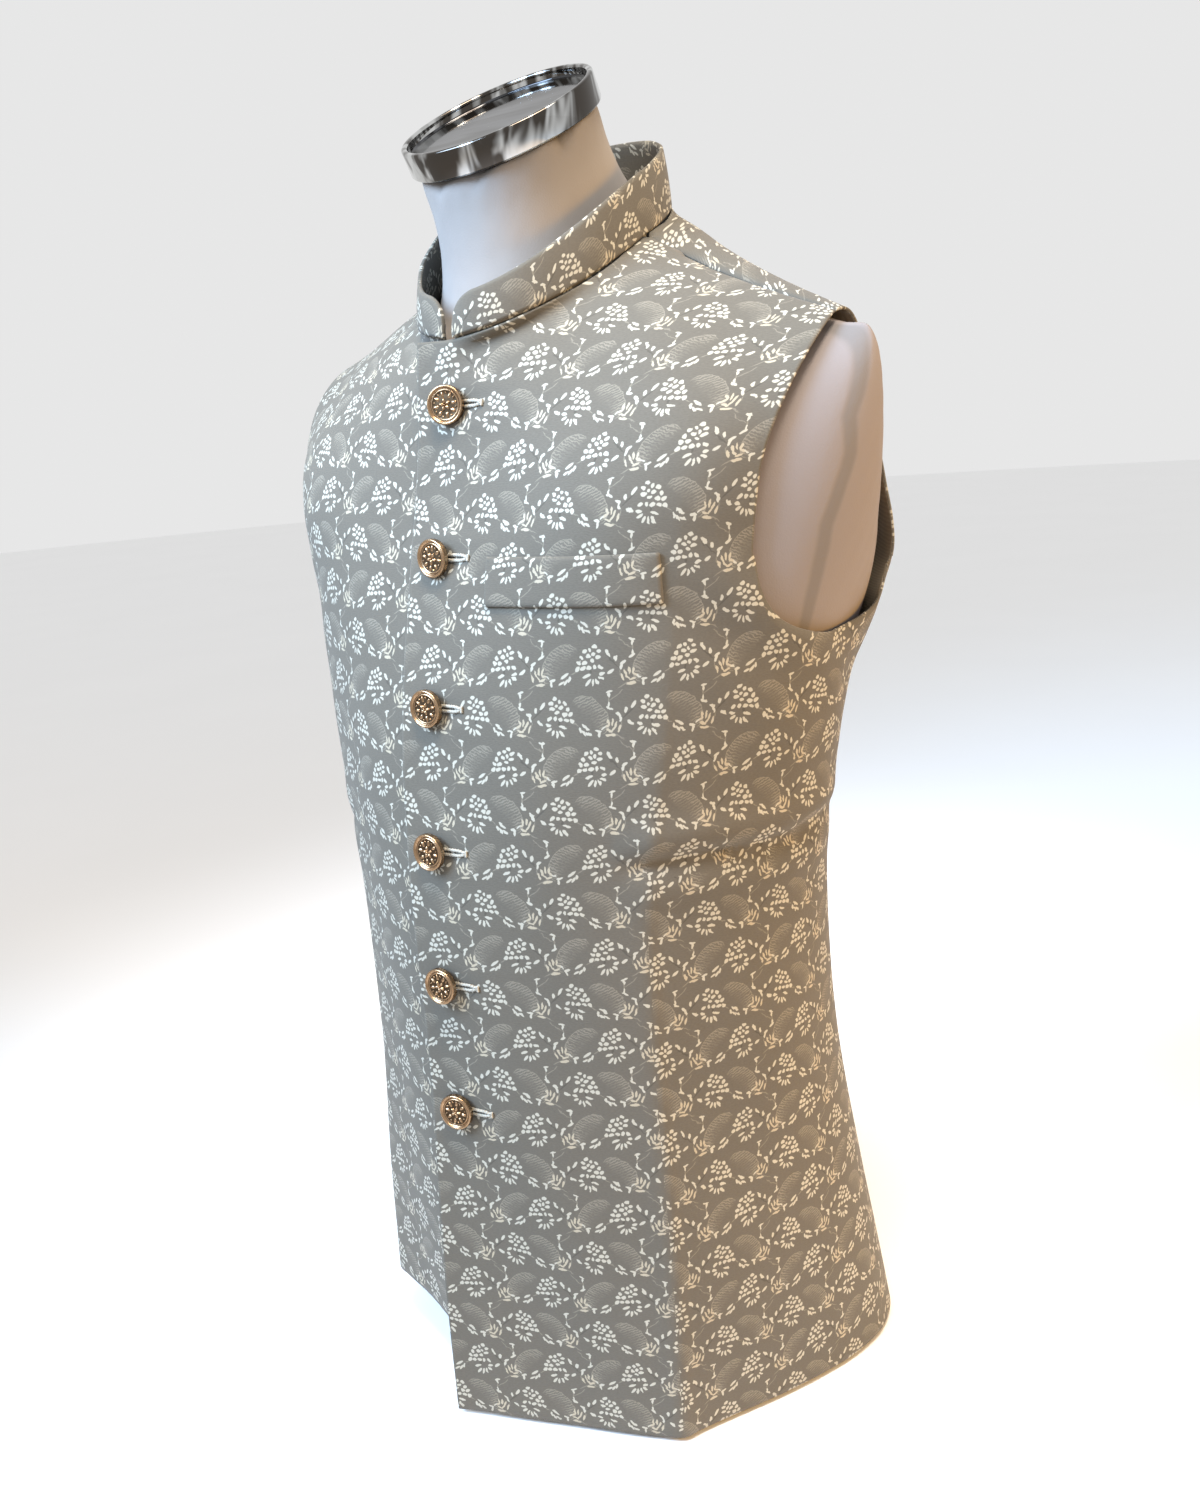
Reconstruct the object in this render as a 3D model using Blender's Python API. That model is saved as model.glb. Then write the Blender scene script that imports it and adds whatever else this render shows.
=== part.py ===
"""A Nehru jacket buttoned on a limbless dress form.

Metres, +Z up. The front faces -Y and the wearer's left is +X. The origin is
under the middle of the form, on the floor that its flat base rests on.
"""

from math import cos, hypot, pi, radians, sin, sqrt

import bmesh
import bpy
from mathutils import Matrix, Vector
from mathutils.bvhtree import BVHTree

# Height of the left front's hem above the floor, and the cloth's wall.
HEM_Z = 0.004
WALL = 0.0016
# Moves the sizes below, which run from the body's own middle, so that the
# origin is under the middle of the whole.
MIDDLE_SHIFT = Vector((0.0, 0.01523, 0.0))
SEAM_GAP = 0.0003

# The jacket's half section at each height above the hem, in millimetres and
# degrees. The five points run from the centre front round to the centre back.
# turn is the front's slant at the centre; comes_in and goes_out are the
# directions of the cloth before and after the crease at the side of the front.
SECTIONS = (
    # height, front, turn, crease x, crease y, comes_in, goes_out,
    # side x, side y, back x, back y, back
    (0, 161, 20, 130, -107, 24, 60, 193, 52, 168, 116, 138),
    (120, 159, 14, 129, -105, 30, 58, 182, 30, 153, 104, 129),
    (250, 154, 8, 124, -101, 34, 55, 175, 15, 141, 93, 119),
    (380, 152, 4, 126, -102, 36, 50, 177, 10, 136, 93, 118),
    (480, 143, 2, 140, -96, 36, 44, 195, 12, 147, 97, 124),
    (580, 122, 0, 150, -88, 36, 38, 211, 22, 165, 98, 121),
    (660, 97, 0, 164, -81, 34, 38, 211, 18, 160, 88, 108),
    (740, 72, 0, 172, -63, 34, 38, 205, 16, 153, 76, 92),
)

# Where the cloth leaves the level sections and curves over the shoulder.
TURN_Z = 0.620
FRONT_NECK = Vector((0.0, -0.090, 0.723))
SIDE_NECK = Vector((0.076, 0.021, 0.778))
BACK_NECK = Vector((0.0, 0.088, 0.809))
SHOULDER_TIP = Vector((0.2035, 0.0215, 0.722))

# Section stations, in quarters of the half section: 1 is the front crease,
# 2 the side and 3 the back corner.
FRONT_NECK_Q = 0.75
ARM_FRONT_Q = 1.37
ARM_BACK_Q = 2.60
BACK_NECK_Q = 3.35
SIDE_SEAM_HEM_Q = 3.0

FRONT_COLUMNS = (0.0, 0.12, 0.24, 0.36, 0.48, 0.60, 0.75, 0.88, 1.0, 1.08, 1.16, 1.23, 1.30, 1.37)
SIDE_COLUMNS = (0.0, 0.04, 0.10, 0.18, 0.28, 0.40, 0.55, 0.70, 0.85, 1.0)
ARMHOLE_FLOOR = (0.590, 0.569, 0.554, 0.545, 0.539, 0.535, 0.536, 0.541, 0.550, 0.566)
# The back's columns meet the front's along the shoulder seam.
SHOULDER_SHARES = [
    (q - FRONT_NECK_Q) / (ARM_FRONT_Q - FRONT_NECK_Q) for q in FRONT_COLUMNS if q >= FRONT_NECK_Q
]
BACK_COLUMNS = [
    (BACK_NECK_Q - (BACK_NECK_Q - ARM_BACK_Q) * t - ARM_BACK_Q) / (4 - ARM_BACK_Q)
    for t in reversed(SHOULDER_SHARES)
] + [0.59, 0.65, 0.72, 0.79, 0.86, 0.93, 1.0]
LOW_ROWS = (0.0, 0.035, 0.075, 0.115, 0.155, 0.195, 0.235, 0.275, 0.315, 0.352, 0.385,
            0.412, 0.445, 0.480, 0.515, 0.552, 0.590)
HIGH_ROWS = (0.0, 0.16, 0.32, 0.46, 0.60, 0.72, 0.83, 0.92, 1.0)

# The wrap at the centre front: the left front goes over the right.
WRAP = 0.020
WRAP_STEPS = 2
UNDER_LAP = 0.0034
RIGHT_HEM_LIFT = 0.042

COLLAR_WALL = 0.0028
COLLAR_FRONT_HEIGHT = 0.026
COLLAR_BACK_HEIGHT = 0.038
COLLAR_CORNER = 0.016
COLLAR_LEAN = 0.10
COLLAR_STEPS = 44

WELT_LEFT_X, WELT_RIGHT_X = 0.040, 0.146
WELT_TOP_Z, WELT_BOTTOM_Z = 0.595, 0.567
WELT_WALL = 0.0022

BUTTON_COUNT = 6
BUTTON_TOP_Z = 0.685
BUTTON_PITCH = 0.090
BUTTON_RADIUS = 0.0120
BUTTON_SEGMENTS = 24
# Half outline of a button, from the middle of its back to the middle of its
# face: radius, then height above the cloth.
BUTTON_OUTLINE = (
    (0.0030, 0.0004), (0.0030, 0.0030), (0.0112, 0.0034), (0.0120, 0.0042),
    (0.0120, 0.0068), (0.0114, 0.0076), (0.0102, 0.0076), (0.0096, 0.0068),
    (0.0050, 0.0074),
)

FORM_CLEARANCE = 0.0075
# Least distance from the cloth's outer face, which leaves 3 mm behind its wall.
FORM_LEAST_GAP = 0.0050
STUMP_REACH = 0.040
# The form draws in towards its foot, so that it stays hidden under the hem.
FOOT_HEIGHT = 0.075
FOOT_INSET = 0.050
NECK_MIDDLE = Vector((0.0, -0.018, 0.848))
NECK_RADIUS = 0.0610
NECK_TILT = radians(28)
CAP_SEGMENTS = 48
# Half outline of the neck cap, from the middle of its underside to the middle
# of its sunk top: radius, then height above the neck.
CAP_OUTLINE = (
    (0.0625, 0.0000), (0.0640, 0.0014), (0.0640, 0.0160), (0.0629, 0.0174),
    (0.0609, 0.0174), (0.0599, 0.0160), (0.0599, 0.0110),
)


def clear_scene():
    for old in list(bpy.data.objects):
        bpy.data.objects.remove(old)


def material(name, colour, metallic, roughness):
    """A plain Principled material; colour is linear RGB."""
    made = bpy.data.materials.new(name)
    made.use_nodes = True
    shader = made.node_tree.nodes["Principled BSDF"]
    shader.inputs["Base Color"].default_value = (*colour, 1.0)
    shader.inputs["Metallic"].default_value = metallic
    shader.inputs["Roughness"].default_value = roughness
    made.diffuse_color = (*colour, 1.0)
    return made


def hermite(p, q, m, n, t):
    """A point on the cubic from p to q with end slopes m and n."""
    return (
        p * (2 * t**3 - 3 * t**2 + 1)
        + m * (t**3 - 2 * t**2 + t)
        + q * (3 * t**2 - 2 * t**3)
        + n * (t**3 - t**2)
    )


def blend(t):
    """0 to 1 with a soft start and end."""
    t = min(1.0, max(0.0, t))
    return t * t * (3 - 2 * t)


def sizes_at(height):
    """The section's sizes at a height above the hem, in metres and radians."""
    heights = [row[0] / 1000 for row in SECTIONS]
    height = min(max(height, heights[0]), heights[-1])
    k = max(i for i in range(len(heights) - 1) if heights[i] <= height)
    span = heights[k + 1] - heights[k]
    t = (height - heights[k]) / span
    found = []
    for column in range(1, len(SECTIONS[0])):
        here, after = SECTIONS[k][column], SECTIONS[k + 1][column]
        slope = (after - here) / span
        before = slope
        if k:
            before = (here - SECTIONS[k - 1][column]) / (heights[k] - heights[k - 1])
        beyond = slope
        if k + 2 < len(SECTIONS):
            beyond = (SECTIONS[k + 2][column] - after) / (heights[k + 2] - heights[k + 1])
        m, n = (before + slope) / 2 * span, (slope + beyond) / 2 * span
        value = hermite(here, after, m, n, t)
        found.append(radians(value) if column in (2, 5, 6) else value / 1000)
    return found


def heading(angle):
    return Vector((cos(angle), sin(angle)))


def section(q, height):
    """The half section's point at station q, as x and y."""
    front, turn, cx, cy, comes_in, goes_out, sx, sy, bx, by, back = sizes_at(height)
    points = [Vector((0, -front)), Vector((cx, cy)), Vector((sx, sy)), Vector((bx, by)), Vector((0, back))]
    if q < 0:
        return points[0] + heading(turn) * (points[1] - points[0]).length * q
    corner = (points[4] - points[2]).normalized()
    leaves = (heading(turn), heading(goes_out), Vector((0, 1)), corner)
    arrives = (heading(comes_in), Vector((0, 1)), corner, Vector((-1, 0)))
    k = min(3, int(q))
    reach = (points[k + 1] - points[k]).length
    return hermite(points[k], points[k + 1], leaves[k] * reach, arrives[k] * reach, q - k)


def crest(q):
    """The top edge at station q, and the way the cloth arrives there."""
    if q < 0:
        spot = FRONT_NECK + Vector((0.165 * q, 0.0, 0.0))
        rise, swing = radians(84), radians(90)
    elif q <= FRONT_NECK_Q:
        a = pi / 2 * q / FRONT_NECK_Q
        spot = Vector((
            SIDE_NECK.x * sin(a),
            SIDE_NECK.y + (FRONT_NECK.y - SIDE_NECK.y) * cos(a),
            FRONT_NECK.z + (SIDE_NECK.z - FRONT_NECK.z) * (1 - cos(a)),
        ))
        rise, swing = radians(84 - 50 * sin(a)), radians(90 + 20 * sin(a))
    elif q <= ARM_FRONT_Q:
        t = (q - FRONT_NECK_Q) / (ARM_FRONT_Q - FRONT_NECK_Q)
        spot = SIDE_NECK.lerp(SHOULDER_TIP, t)
        spot.z -= 0.004 * sin(pi * t)
        rise, swing = radians(34 - 12 * t), radians(110 - 12 * t)
    elif q <= BACK_NECK_Q:
        t = (BACK_NECK_Q - q) / (BACK_NECK_Q - ARM_BACK_Q)
        spot = SIDE_NECK.lerp(SHOULDER_TIP, t)
        spot.z -= 0.004 * sin(pi * t)
        rise, swing = radians(-42 + 24 * t), radians(-110 + 12 * t)
    else:
        a = pi / 2 * (4 - q) / (4 - BACK_NECK_Q)
        spot = Vector((
            SIDE_NECK.x * sin(a) ** 0.75,
            SIDE_NECK.y + (BACK_NECK.y - SIDE_NECK.y) * max(0.0, cos(a)) ** 0.75,
            SIDE_NECK.z + (BACK_NECK.z - SIDE_NECK.z) * max(0.0, cos(a)) ** 0.8,
        ))
        rise, swing = radians(66 - 108 * sin(a) ** 2.5), radians(-90 - 20 * sin(a))
    way = Vector((cos(rise) * cos(swing), cos(rise) * sin(swing), sin(rise)))
    return spot, way


def level_point(q, height):
    x, y = section(q, height)
    # The back edge of the armhole stands off the body a little.
    flare = max(0.0, 1 - ((q - ARM_BACK_Q) / 0.5) ** 2) * max(0.0, 1 - ((height - 0.590) / 0.085) ** 2)
    return Vector((x + 0.017 * flare, y + 0.004 * flare, height))


def high_point(q, t):
    """From the level section at TURN_Z (t = 0) over to the top edge (t = 1)."""
    start = level_point(q, TURN_Z)
    climb = (level_point(q, TURN_Z + 0.005) - level_point(q, TURN_Z - 0.005)) * 100
    end, way = crest(q)
    reach = (end - start).length
    return hermite(start, end, climb * reach, way * reach, t)


def column_points(q):
    """A full column, from the hem to the top edge."""
    low = [level_point(q, z) for z in LOW_ROWS]
    last = LOW_ROWS[-1]
    points = low
    for t in HIGH_ROWS[1:]:
        rest = TURN_Z - last
        whole = rest + (crest(q)[0] - level_point(q, TURN_Z)).length
        run = t * whole
        if run < rest:
            points.append(level_point(q, last + run))
        else:
            points.append(high_point(q, (run - rest) / (whole - rest)))
    return points


def seam_q(height):
    """Where the seam behind the side lies, at a height above the hem."""
    return SIDE_SEAM_HEM_Q + (ARM_BACK_Q - SIDE_SEAM_HEM_Q) * blend(height / 0.54)


def soften(columns, first_row, passes=6):
    """Eases a run of columns sideways above a row, leaving the outline where it is."""
    for _ in range(passes):
        eased = [list(column) for column in columns]
        for k in range(1, len(columns) - 1):
            for j in range(first_row, len(columns[k]) - 1):
                if j < len(columns[k - 1]) and j < len(columns[k + 1]):
                    middle = (columns[k - 1][j] + columns[k + 1][j]) / 2
                    share = 0.5 * blend((j - first_row + 1) / 3)
                    eased[k][j] = columns[k][j].lerp(middle, share)
        columns = eased
    return columns


def front_grid(side):
    """Columns of points of one front, from its wrap edge to the seam behind the side."""
    columns = []
    for step in range(WRAP_STEPS, 0, -1):
        columns.append(column_points(-0.155 * step / WRAP_STEPS))
    columns += soften([column_points(q) for q in FRONT_COLUMNS], len(LOW_ROWS))
    for share, floor in zip(SIDE_COLUMNS[1:], ARMHOLE_FLOOR[1:]):
        column = []
        for z in LOW_ROWS:
            height = z * floor / LOW_ROWS[-1]
            q = ARM_FRONT_Q + (seam_q(height) - ARM_FRONT_Q) * share
            column.append(level_point(q, height))
        columns.append(column)
    if side < 0:
        for k, column in enumerate(columns):
            fade = 1 - blend((k - 7) / (len(columns) - 8))
            for j, spot in enumerate(column):
                if spot.z < 0.30 and fade > 0:
                    lift = RIGHT_HEM_LIFT * fade * (1 - spot.z / 0.30) ** 2
                    column[j] = Vector((spot.x, spot.y, spot.z + lift))
    return columns


def back_grid():
    """Columns of one half of the back, from the seam behind the side to the middle."""
    columns = []
    for share in BACK_COLUMNS:
        column = []
        for z in LOW_ROWS:
            height = z * ARMHOLE_FLOOR[-1] / LOW_ROWS[-1]
            start = seam_q(height)
            column.append(level_point(start + (4 - start) * share, height))
        q = ARM_BACK_Q + (4 - ARM_BACK_Q) * share
        last = column[-1].z
        rest = TURN_Z - last
        whole = rest + (crest(q)[0] - level_point(q, TURN_Z)).length
        for t in HIGH_ROWS[1:]:
            run = t * whole
            if run < rest:
                column.append(level_point(q, last + run))
            else:
                column.append(high_point(q, (run - rest) / (whole - rest)))
        columns.append(column)
    return soften(columns, len(LOW_ROWS))


def placed(spot, side):
    return Vector((spot.x * side, spot.y, spot.z + HEM_Z))


def grid_faces(columns, make, side):
    """Faces between neighbouring columns; short columns meet the low rows of tall ones."""
    faces = []
    for left, right in zip(columns, columns[1:]):
        for j in range(min(len(left), len(right)) - 1):
            corners = [make(left[j], side), make(right[j], side), make(right[j + 1], side), make(left[j + 1], side)]
            faces.append(corners if side > 0 else corners[::-1])
    return faces


def sheet_mesh(groups):
    """One mesh of several groups of faces, welded where their corners meet."""
    mesh = bmesh.new()
    mark = mesh.faces.layers.int.new("piece")
    for number, faces in enumerate(groups):
        for corners in faces:
            face = mesh.faces.new([mesh.verts.new(c) for c in corners])
            face[mark] = number
    bmesh.ops.remove_doubles(mesh, verts=mesh.verts, dist=2e-5)
    mesh.normal_update()
    return mesh, mark


def solid_sheet(corners, faces, inward, wall):
    """A closed shell: the faces, the same faces a wall further in, and a rim."""
    mesh = bmesh.new()
    outer = [mesh.verts.new(c) for c in corners]
    inner = [mesh.verts.new(c + way * wall) for c, way in zip(corners, inward)]
    uses = {}
    for face in faces:
        mesh.faces.new([outer[i] for i in face])
        mesh.faces.new([inner[i] for i in reversed(face)])
        for a, b in zip(face, face[1:] + face[:1]):
            uses[(a, b)] = uses.get((a, b), 0) + 1
    for a, b in uses:
        if (b, a) not in uses:
            mesh.faces.new([outer[b], outer[a], inner[a], inner[b]])
    return mesh


def add_object(mesh, name, look, smooth=True):
    data = bpy.data.meshes.new(name)
    mesh.normal_update()
    mesh.to_mesh(data)
    mesh.free()
    made = bpy.data.objects.new(name, data)
    bpy.context.scene.collection.objects.link(made)
    data.materials.append(look)
    if smooth:
        data.shade_smooth()
    return made


def outward(mesh):
    """Turns every face of a closed mesh to face out."""
    bmesh.ops.recalc_face_normals(mesh, faces=mesh.faces)
    if mesh.calc_volume(signed=True) < 0:
        bmesh.ops.reverse_faces(mesh, faces=mesh.faces)


def at_height(column, z):
    """The point of a column at a height above the hem."""
    for low, high in zip(column, column[1:]):
        if z <= high.z:
            break
    return low.lerp(high, (z - low.z) / max(high.z - low.z, 1e-9))


def tuck_under(columns, over):
    """Follows the left front with the right front's wrap, which lies behind it."""
    for column in columns[:WRAP_STEPS]:
        column[-1] = column[-1].lerp(column[-2], 0.3)
        for j, spot in enumerate(column):
            x = -spot.x
            across = [at_height(other, spot.z) for other in over[WRAP_STEPS : WRAP_STEPS + 6]]
            for near, far in zip(across, across[1:]):
                if x <= far.x:
                    break
            share = (x - near.x) / max(far.x - near.x, 1e-9)
            column[j] = Vector((spot.x, near.y + (far.y - near.y) * share, spot.z))
    return columns


def front_at(q, z):
    """The front's point at station q and height z above the hem."""
    if z <= TURN_Z:
        return level_point(q, z)
    low, high = 0.0, 1.0
    for _ in range(20):
        middle = (low + high) / 2
        if high_point(q, middle).z < z:
            low = middle
        else:
            high = middle
    return high_point(q, (low + high) / 2)


def front_frame(q, z):
    """A point on the front, with its directions across, up and out."""
    spot = front_at(q, z)
    across = (front_at(q + 0.02, z) - front_at(q - 0.02, z)).normalized()
    up = (front_at(q, min(z + 0.004, 0.722)) - front_at(q, z - 0.004)).normalized()
    out = across.cross(up).normalized()
    up = out.cross(across)
    return spot, across, up, out


def build_cloth(cloth):
    left = front_grid(1)
    right = tuck_under(front_grid(-1), left)
    for column in right[: WRAP_STEPS + 7]:
        for j, spot in enumerate(column):
            share = 1 - blend((spot.x - 0.026) / 0.045)
            _, _, _, out = front_frame(max(0.0, min(0.3, spot.x / 0.14)), min(spot.z, 0.715))
            column[j] = spot - Vector((-out.x if spot.x >= 0 else out.x, out.y, 0)) * UNDER_LAP * share
    back = back_grid()
    groups = [
        grid_faces(left, placed, 1),
        grid_faces(right, placed, -1),
        grid_faces(back, placed, 1) + grid_faces(back, placed, -1),
    ]
    whole, mark = sheet_mesh(groups)
    for number, name in enumerate(("front_left", "front_right", "back")):
        members = [f for f in whole.faces if f[mark] == number]
        verts = list({v for f in members for v in f.verts})
        index = {v: i for i, v in enumerate(verts)}
        corners = []
        for v in verts:
            spot = v.co.copy()
            if any(f[mark] != number for f in v.link_faces):
                near = [f.calc_center_median() for f in v.link_faces if f[mark] == number]
                middle = sum(near, Vector()) / len(near)
                way = middle - spot
                way -= v.normal * way.dot(v.normal)
                for edge in v.link_edges:
                    if len({f[mark] for f in edge.link_faces}) > 1:
                        along = (edge.other_vert(v).co - spot).normalized()
                        way -= along * way.dot(along)
                spot += way.normalized() * SEAM_GAP * 0.7
            corners.append(spot)
        shell = solid_sheet(
            corners,
            [[index[v] for v in f.verts] for f in members],
            [-v.normal for v in verts],
            WALL,
        )
        outward(shell)
        add_object(shell, name, cloth)
    tree = BVHTree.FromBMesh(whole)
    whole.free()
    return tree


def neck_line(turn):
    """The neckline all round: turn 0 is the left end at the centre front, 1 the right end."""
    side = 1 if turn <= 0.5 else -1
    t = 2 * turn if turn <= 0.5 else 2 - 2 * turn
    if t < 0.62:
        spot, _ = crest(FRONT_NECK_Q * t / 0.62)
    else:
        spot, _ = crest(BACK_NECK_Q + (4 - BACK_NECK_Q) * (t - 0.62) / 0.38)
    return placed(spot, side)


def build_collar(cloth):
    start = 0.010
    turns = [start + (1 - 2 * start) * (k / COLLAR_STEPS) for k in range(COLLAR_STEPS + 1)]
    ends = [0.35, 0.7, 1.2]
    step = turns[1] - turns[0]
    turns = [turns[0]] + [start + step * e / 1.6 for e in ends] + turns[2:-2]
    turns += [1 - start - step * e / 1.6 for e in reversed(ends)] + [1 - start]
    spots = [neck_line(t) for t in turns]
    runs = [0.0]
    for a, b in zip(spots, spots[1:]):
        runs.append(runs[-1] + (b - a).length)
    total = runs[-1]
    mesh = bmesh.new()
    rows = []
    for k, (turn, spot) in enumerate(zip(turns, spots)):
        along = spots[min(k + 1, len(spots) - 1)] - spots[max(k - 1, 0)]
        out = Vector((along.y, -along.x, 0)).normalized()
        end = min(runs[k], total - runs[k])
        share = blend(end / 0.15)
        height = COLLAR_FRONT_HEIGHT + (COLLAR_BACK_HEIGHT - COLLAR_FRONT_HEIGHT) * share
        if end < COLLAR_CORNER:
            drop = COLLAR_CORNER - end
            height -= COLLAR_CORNER - sqrt(COLLAR_CORNER**2 - drop**2) * 1.0
        height = max(height, 0.012)
        up = (Vector((0, 0, 1)) - out * COLLAR_LEAN).normalized()
        ring = []
        half = COLLAR_WALL / 2
        for level, depth in ((0, half), (0.33, half), (0.67, half), (1, half * 0.6), (1, -half * 0.6), (0.67, -half), (0.33, -half), (0, -half)):
            ring.append(mesh.verts.new(spot + up * (0.0014 + height * level) + out * (depth - 0.0016)))
        rows.append(ring)
    for a, b in zip(rows, rows[1:]):
        for j in range(8):
            i = (j + 1) % 8
            mesh.faces.new([a[j], b[j], b[i], a[i]])
    mesh.faces.new(rows[0])
    mesh.faces.new(rows[-1][::-1])
    outward(mesh)
    add_object(mesh, "collar", cloth)


def build_welt(cloth):
    columns, rows = 12, 3
    corners, faces, inward = [], [], []
    for i in range(columns + 1):
        for j in range(rows + 1):
            x = WELT_LEFT_X + (WELT_RIGHT_X - WELT_LEFT_X) * i / columns
            z = WELT_BOTTOM_Z + (WELT_TOP_Z - WELT_BOTTOM_Z) * j / rows
            low, high = 0.0, 1.4
            for _ in range(20):
                q = (low + high) / 2
                low, high = (q, high) if front_at(q, z).x < x else (low, q)
            spot, _, _, out = front_frame(q, z)
            corners.append(placed(spot + out * (0.0006 + WELT_WALL), 1))
            inward.append(-out)
    for i in range(columns):
        for j in range(rows):
            a = i * (rows + 1) + j
            faces.append([a, a + rows + 1, a + rows + 2, a + 1])
    shell = solid_sheet(corners, faces, inward, WELT_WALL)
    outward(shell)
    add_object(shell, "pocket_welt", cloth)


def turned(outline, segments):
    """A closed solid of revolution about +Z, flat across the middle of both ends."""
    mesh = bmesh.new()
    rings = []
    for radius, height in outline:
        rings.append([
            mesh.verts.new((radius * cos(2 * pi * k / segments), radius * sin(2 * pi * k / segments), height))
            for k in range(segments)
        ])
    for a, b in zip(rings, rings[1:]):
        for k in range(segments):
            i = (k + 1) % segments
            mesh.faces.new([a[k], a[i], b[i], b[k]])
    mesh.faces.new(rings[0][::-1])
    mesh.faces.new(rings[-1])
    outward(mesh)
    return mesh


def build_buttons(gold):
    for k in range(BUTTON_COUNT):
        z = BUTTON_TOP_Z - BUTTON_PITCH * k
        spot, across, up, out = front_frame(0.0, z)
        turn = Matrix((across, up, out)).transposed().to_4x4()
        mesh = turned(BUTTON_OUTLINE, BUTTON_SEGMENTS)
        mesh.transform(Matrix.Translation(placed(spot, 1)) @ turn)
        add_object(mesh, "button_%d" % (k + 1), gold)


def neck_ring_point(angle, rise):
    """A point of the neck, rise above the middle of its top, on its tilted axis."""
    flat = Vector((NECK_RADIUS * sin(angle), -NECK_RADIUS * cos(angle), rise))
    tilt = Matrix.Rotation(NECK_TILT, 3, "X")
    return NECK_MIDDLE + tilt @ flat


def keep_inside(mesh, cloth_tree, exempt):
    """Draws the form's points in wherever they come too near the cloth."""
    for vert in mesh.verts:
        if vert in exempt:
            continue
        near, normal, _, distance = cloth_tree.find_nearest(vert.co)
        if distance < 0.03 and (vert.co - near).dot(normal) > -FORM_LEAST_GAP:
            vert.co = near - normal * (FORM_LEAST_GAP + 0.0008)


def build_form(cover, cloth_tree):
    front = soften([column_points(q) for q in FRONT_COLUMNS], len(LOW_ROWS))
    side = []
    for share, floor in zip(SIDE_COLUMNS, ARMHOLE_FLOOR):
        column = []
        for z in LOW_ROWS:
            height = z * floor / LOW_ROWS[-1]
            column.append(level_point(ARM_FRONT_Q + (seam_q(height) - ARM_FRONT_Q) * share, height))
        side.append(column)
    back = back_grid()
    stump = []
    low = len(LOW_ROWS) - 1
    count = len(HIGH_ROWS)
    for i, share in enumerate(SIDE_COLUMNS):
        column = []
        for j in range(count):
            t = j / (count - 1)
            a, b = front[-1][low + j], back[0][low + j]
            base = a.lerp(b, share)
            chord = side[0][low].lerp(side[-1][low], share)
            lift = (side[i][low] - chord) * (1 - t) ** 2
            bulge = STUMP_REACH * sin(pi * share) ** 0.5 * sin(pi * min(1.0, t * 0.95)) ** 0.55
            column.append(base + lift + Vector((bulge, 0, 0)) if 0 < i < len(SIDE_COLUMNS) - 1 else base)
        stump.append(column)
    neck = []
    angles = []
    for k, q in enumerate(FRONT_COLUMNS[: FRONT_COLUMNS.index(FRONT_NECK_Q) + 1]):
        angles.append((front[k][-1], pi / 2 * 1.04 * q / FRONT_NECK_Q))
    for k, share in enumerate(BACK_COLUMNS):
        q = ARM_BACK_Q + (4 - ARM_BACK_Q) * share
        if q > BACK_NECK_Q - 0.03:
            angles.append((back[k][-1], pi / 2 * 1.04 + (pi - pi / 2 * 1.04) * (q - BACK_NECK_Q) / (4 - BACK_NECK_Q)))
    for spot, angle in angles:
        column = []
        top = neck_ring_point(angle, 0.0) - Vector((0, 0, HEM_Z))
        root = neck_ring_point(angle, -0.062) - Vector((0, 0, HEM_Z))
        base = Vector((spot.x * 0.88, spot.y * 0.88, spot.z + 0.002))
        root = root.lerp(base, 0.4)
        for t in (0.0, 0.12, 0.3, 0.5, 0.75, 1.0):
            column.append(hermite(spot, top, (base - spot) * 4.0, (top - root) * 0.9, t) if t else spot)
        neck.append(column)
    mesh, mark = sheet_mesh([
        grid_faces(g, placed, s) for g in (front, side, back, stump, neck) for s in (1, -1)
    ])
    exempt = {v for v in mesh.verts if all(f[mark] >= 6 for f in v.link_faces)}
    rim = [v for v in mesh.verts if v.is_boundary and v.co.z < HEM_Z + 1e-4]
    top = [v for v in mesh.verts if v.is_boundary and v.co.z > 0.75]
    fixed = set(rim) | set(top)
    shrink = {v: -v.normal * FORM_CLEARANCE for v in mesh.verts if v not in set(top)}
    for v, way in shrink.items():
        height = v.co.z - HEM_Z
        way *= 1 + FOOT_INSET / FORM_CLEARANCE * max(0.0, 1 - height / FOOT_HEIGHT) ** 1.5
        v.co += way
    for v in rim:
        v.co.z = HEM_Z
    for turn in range(9):
        moved = {}
        for v in mesh.verts:
            if v in fixed or (turn > 2 and v not in exempt):
                continue
            ring = [e.other_vert(v).co for e in v.link_edges]
            moved[v] = v.co.lerp(sum(ring, Vector()) / len(ring), 0.35)
        for v, spot in moved.items():
            v.co = spot
    keep_inside(mesh, cloth_tree, exempt)
    for v in rim:
        v.co.z = HEM_Z
    foot = bmesh.ops.extrude_edge_only(mesh, edges=[e for e in mesh.edges if e.is_boundary and e.verts[0].co.z < HEM_Z + 1e-4])
    for v in foot["geom"]:
        if isinstance(v, bmesh.types.BMVert):
            v.co.z = 0.0
    bmesh.ops.holes_fill(mesh, edges=[e for e in mesh.edges if e.is_boundary])
    outward(mesh)
    add_object(mesh, "dress_form", cover)


def build_cap(chrome):
    mesh = turned(CAP_OUTLINE, CAP_SEGMENTS)
    tilt = Matrix.Rotation(NECK_TILT, 4, "X")
    mesh.transform(Matrix.Translation(NECK_MIDDLE) @ tilt @ Matrix.Translation((0, 0, 0.0004)))
    add_object(mesh, "neck_cap", chrome)


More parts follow.
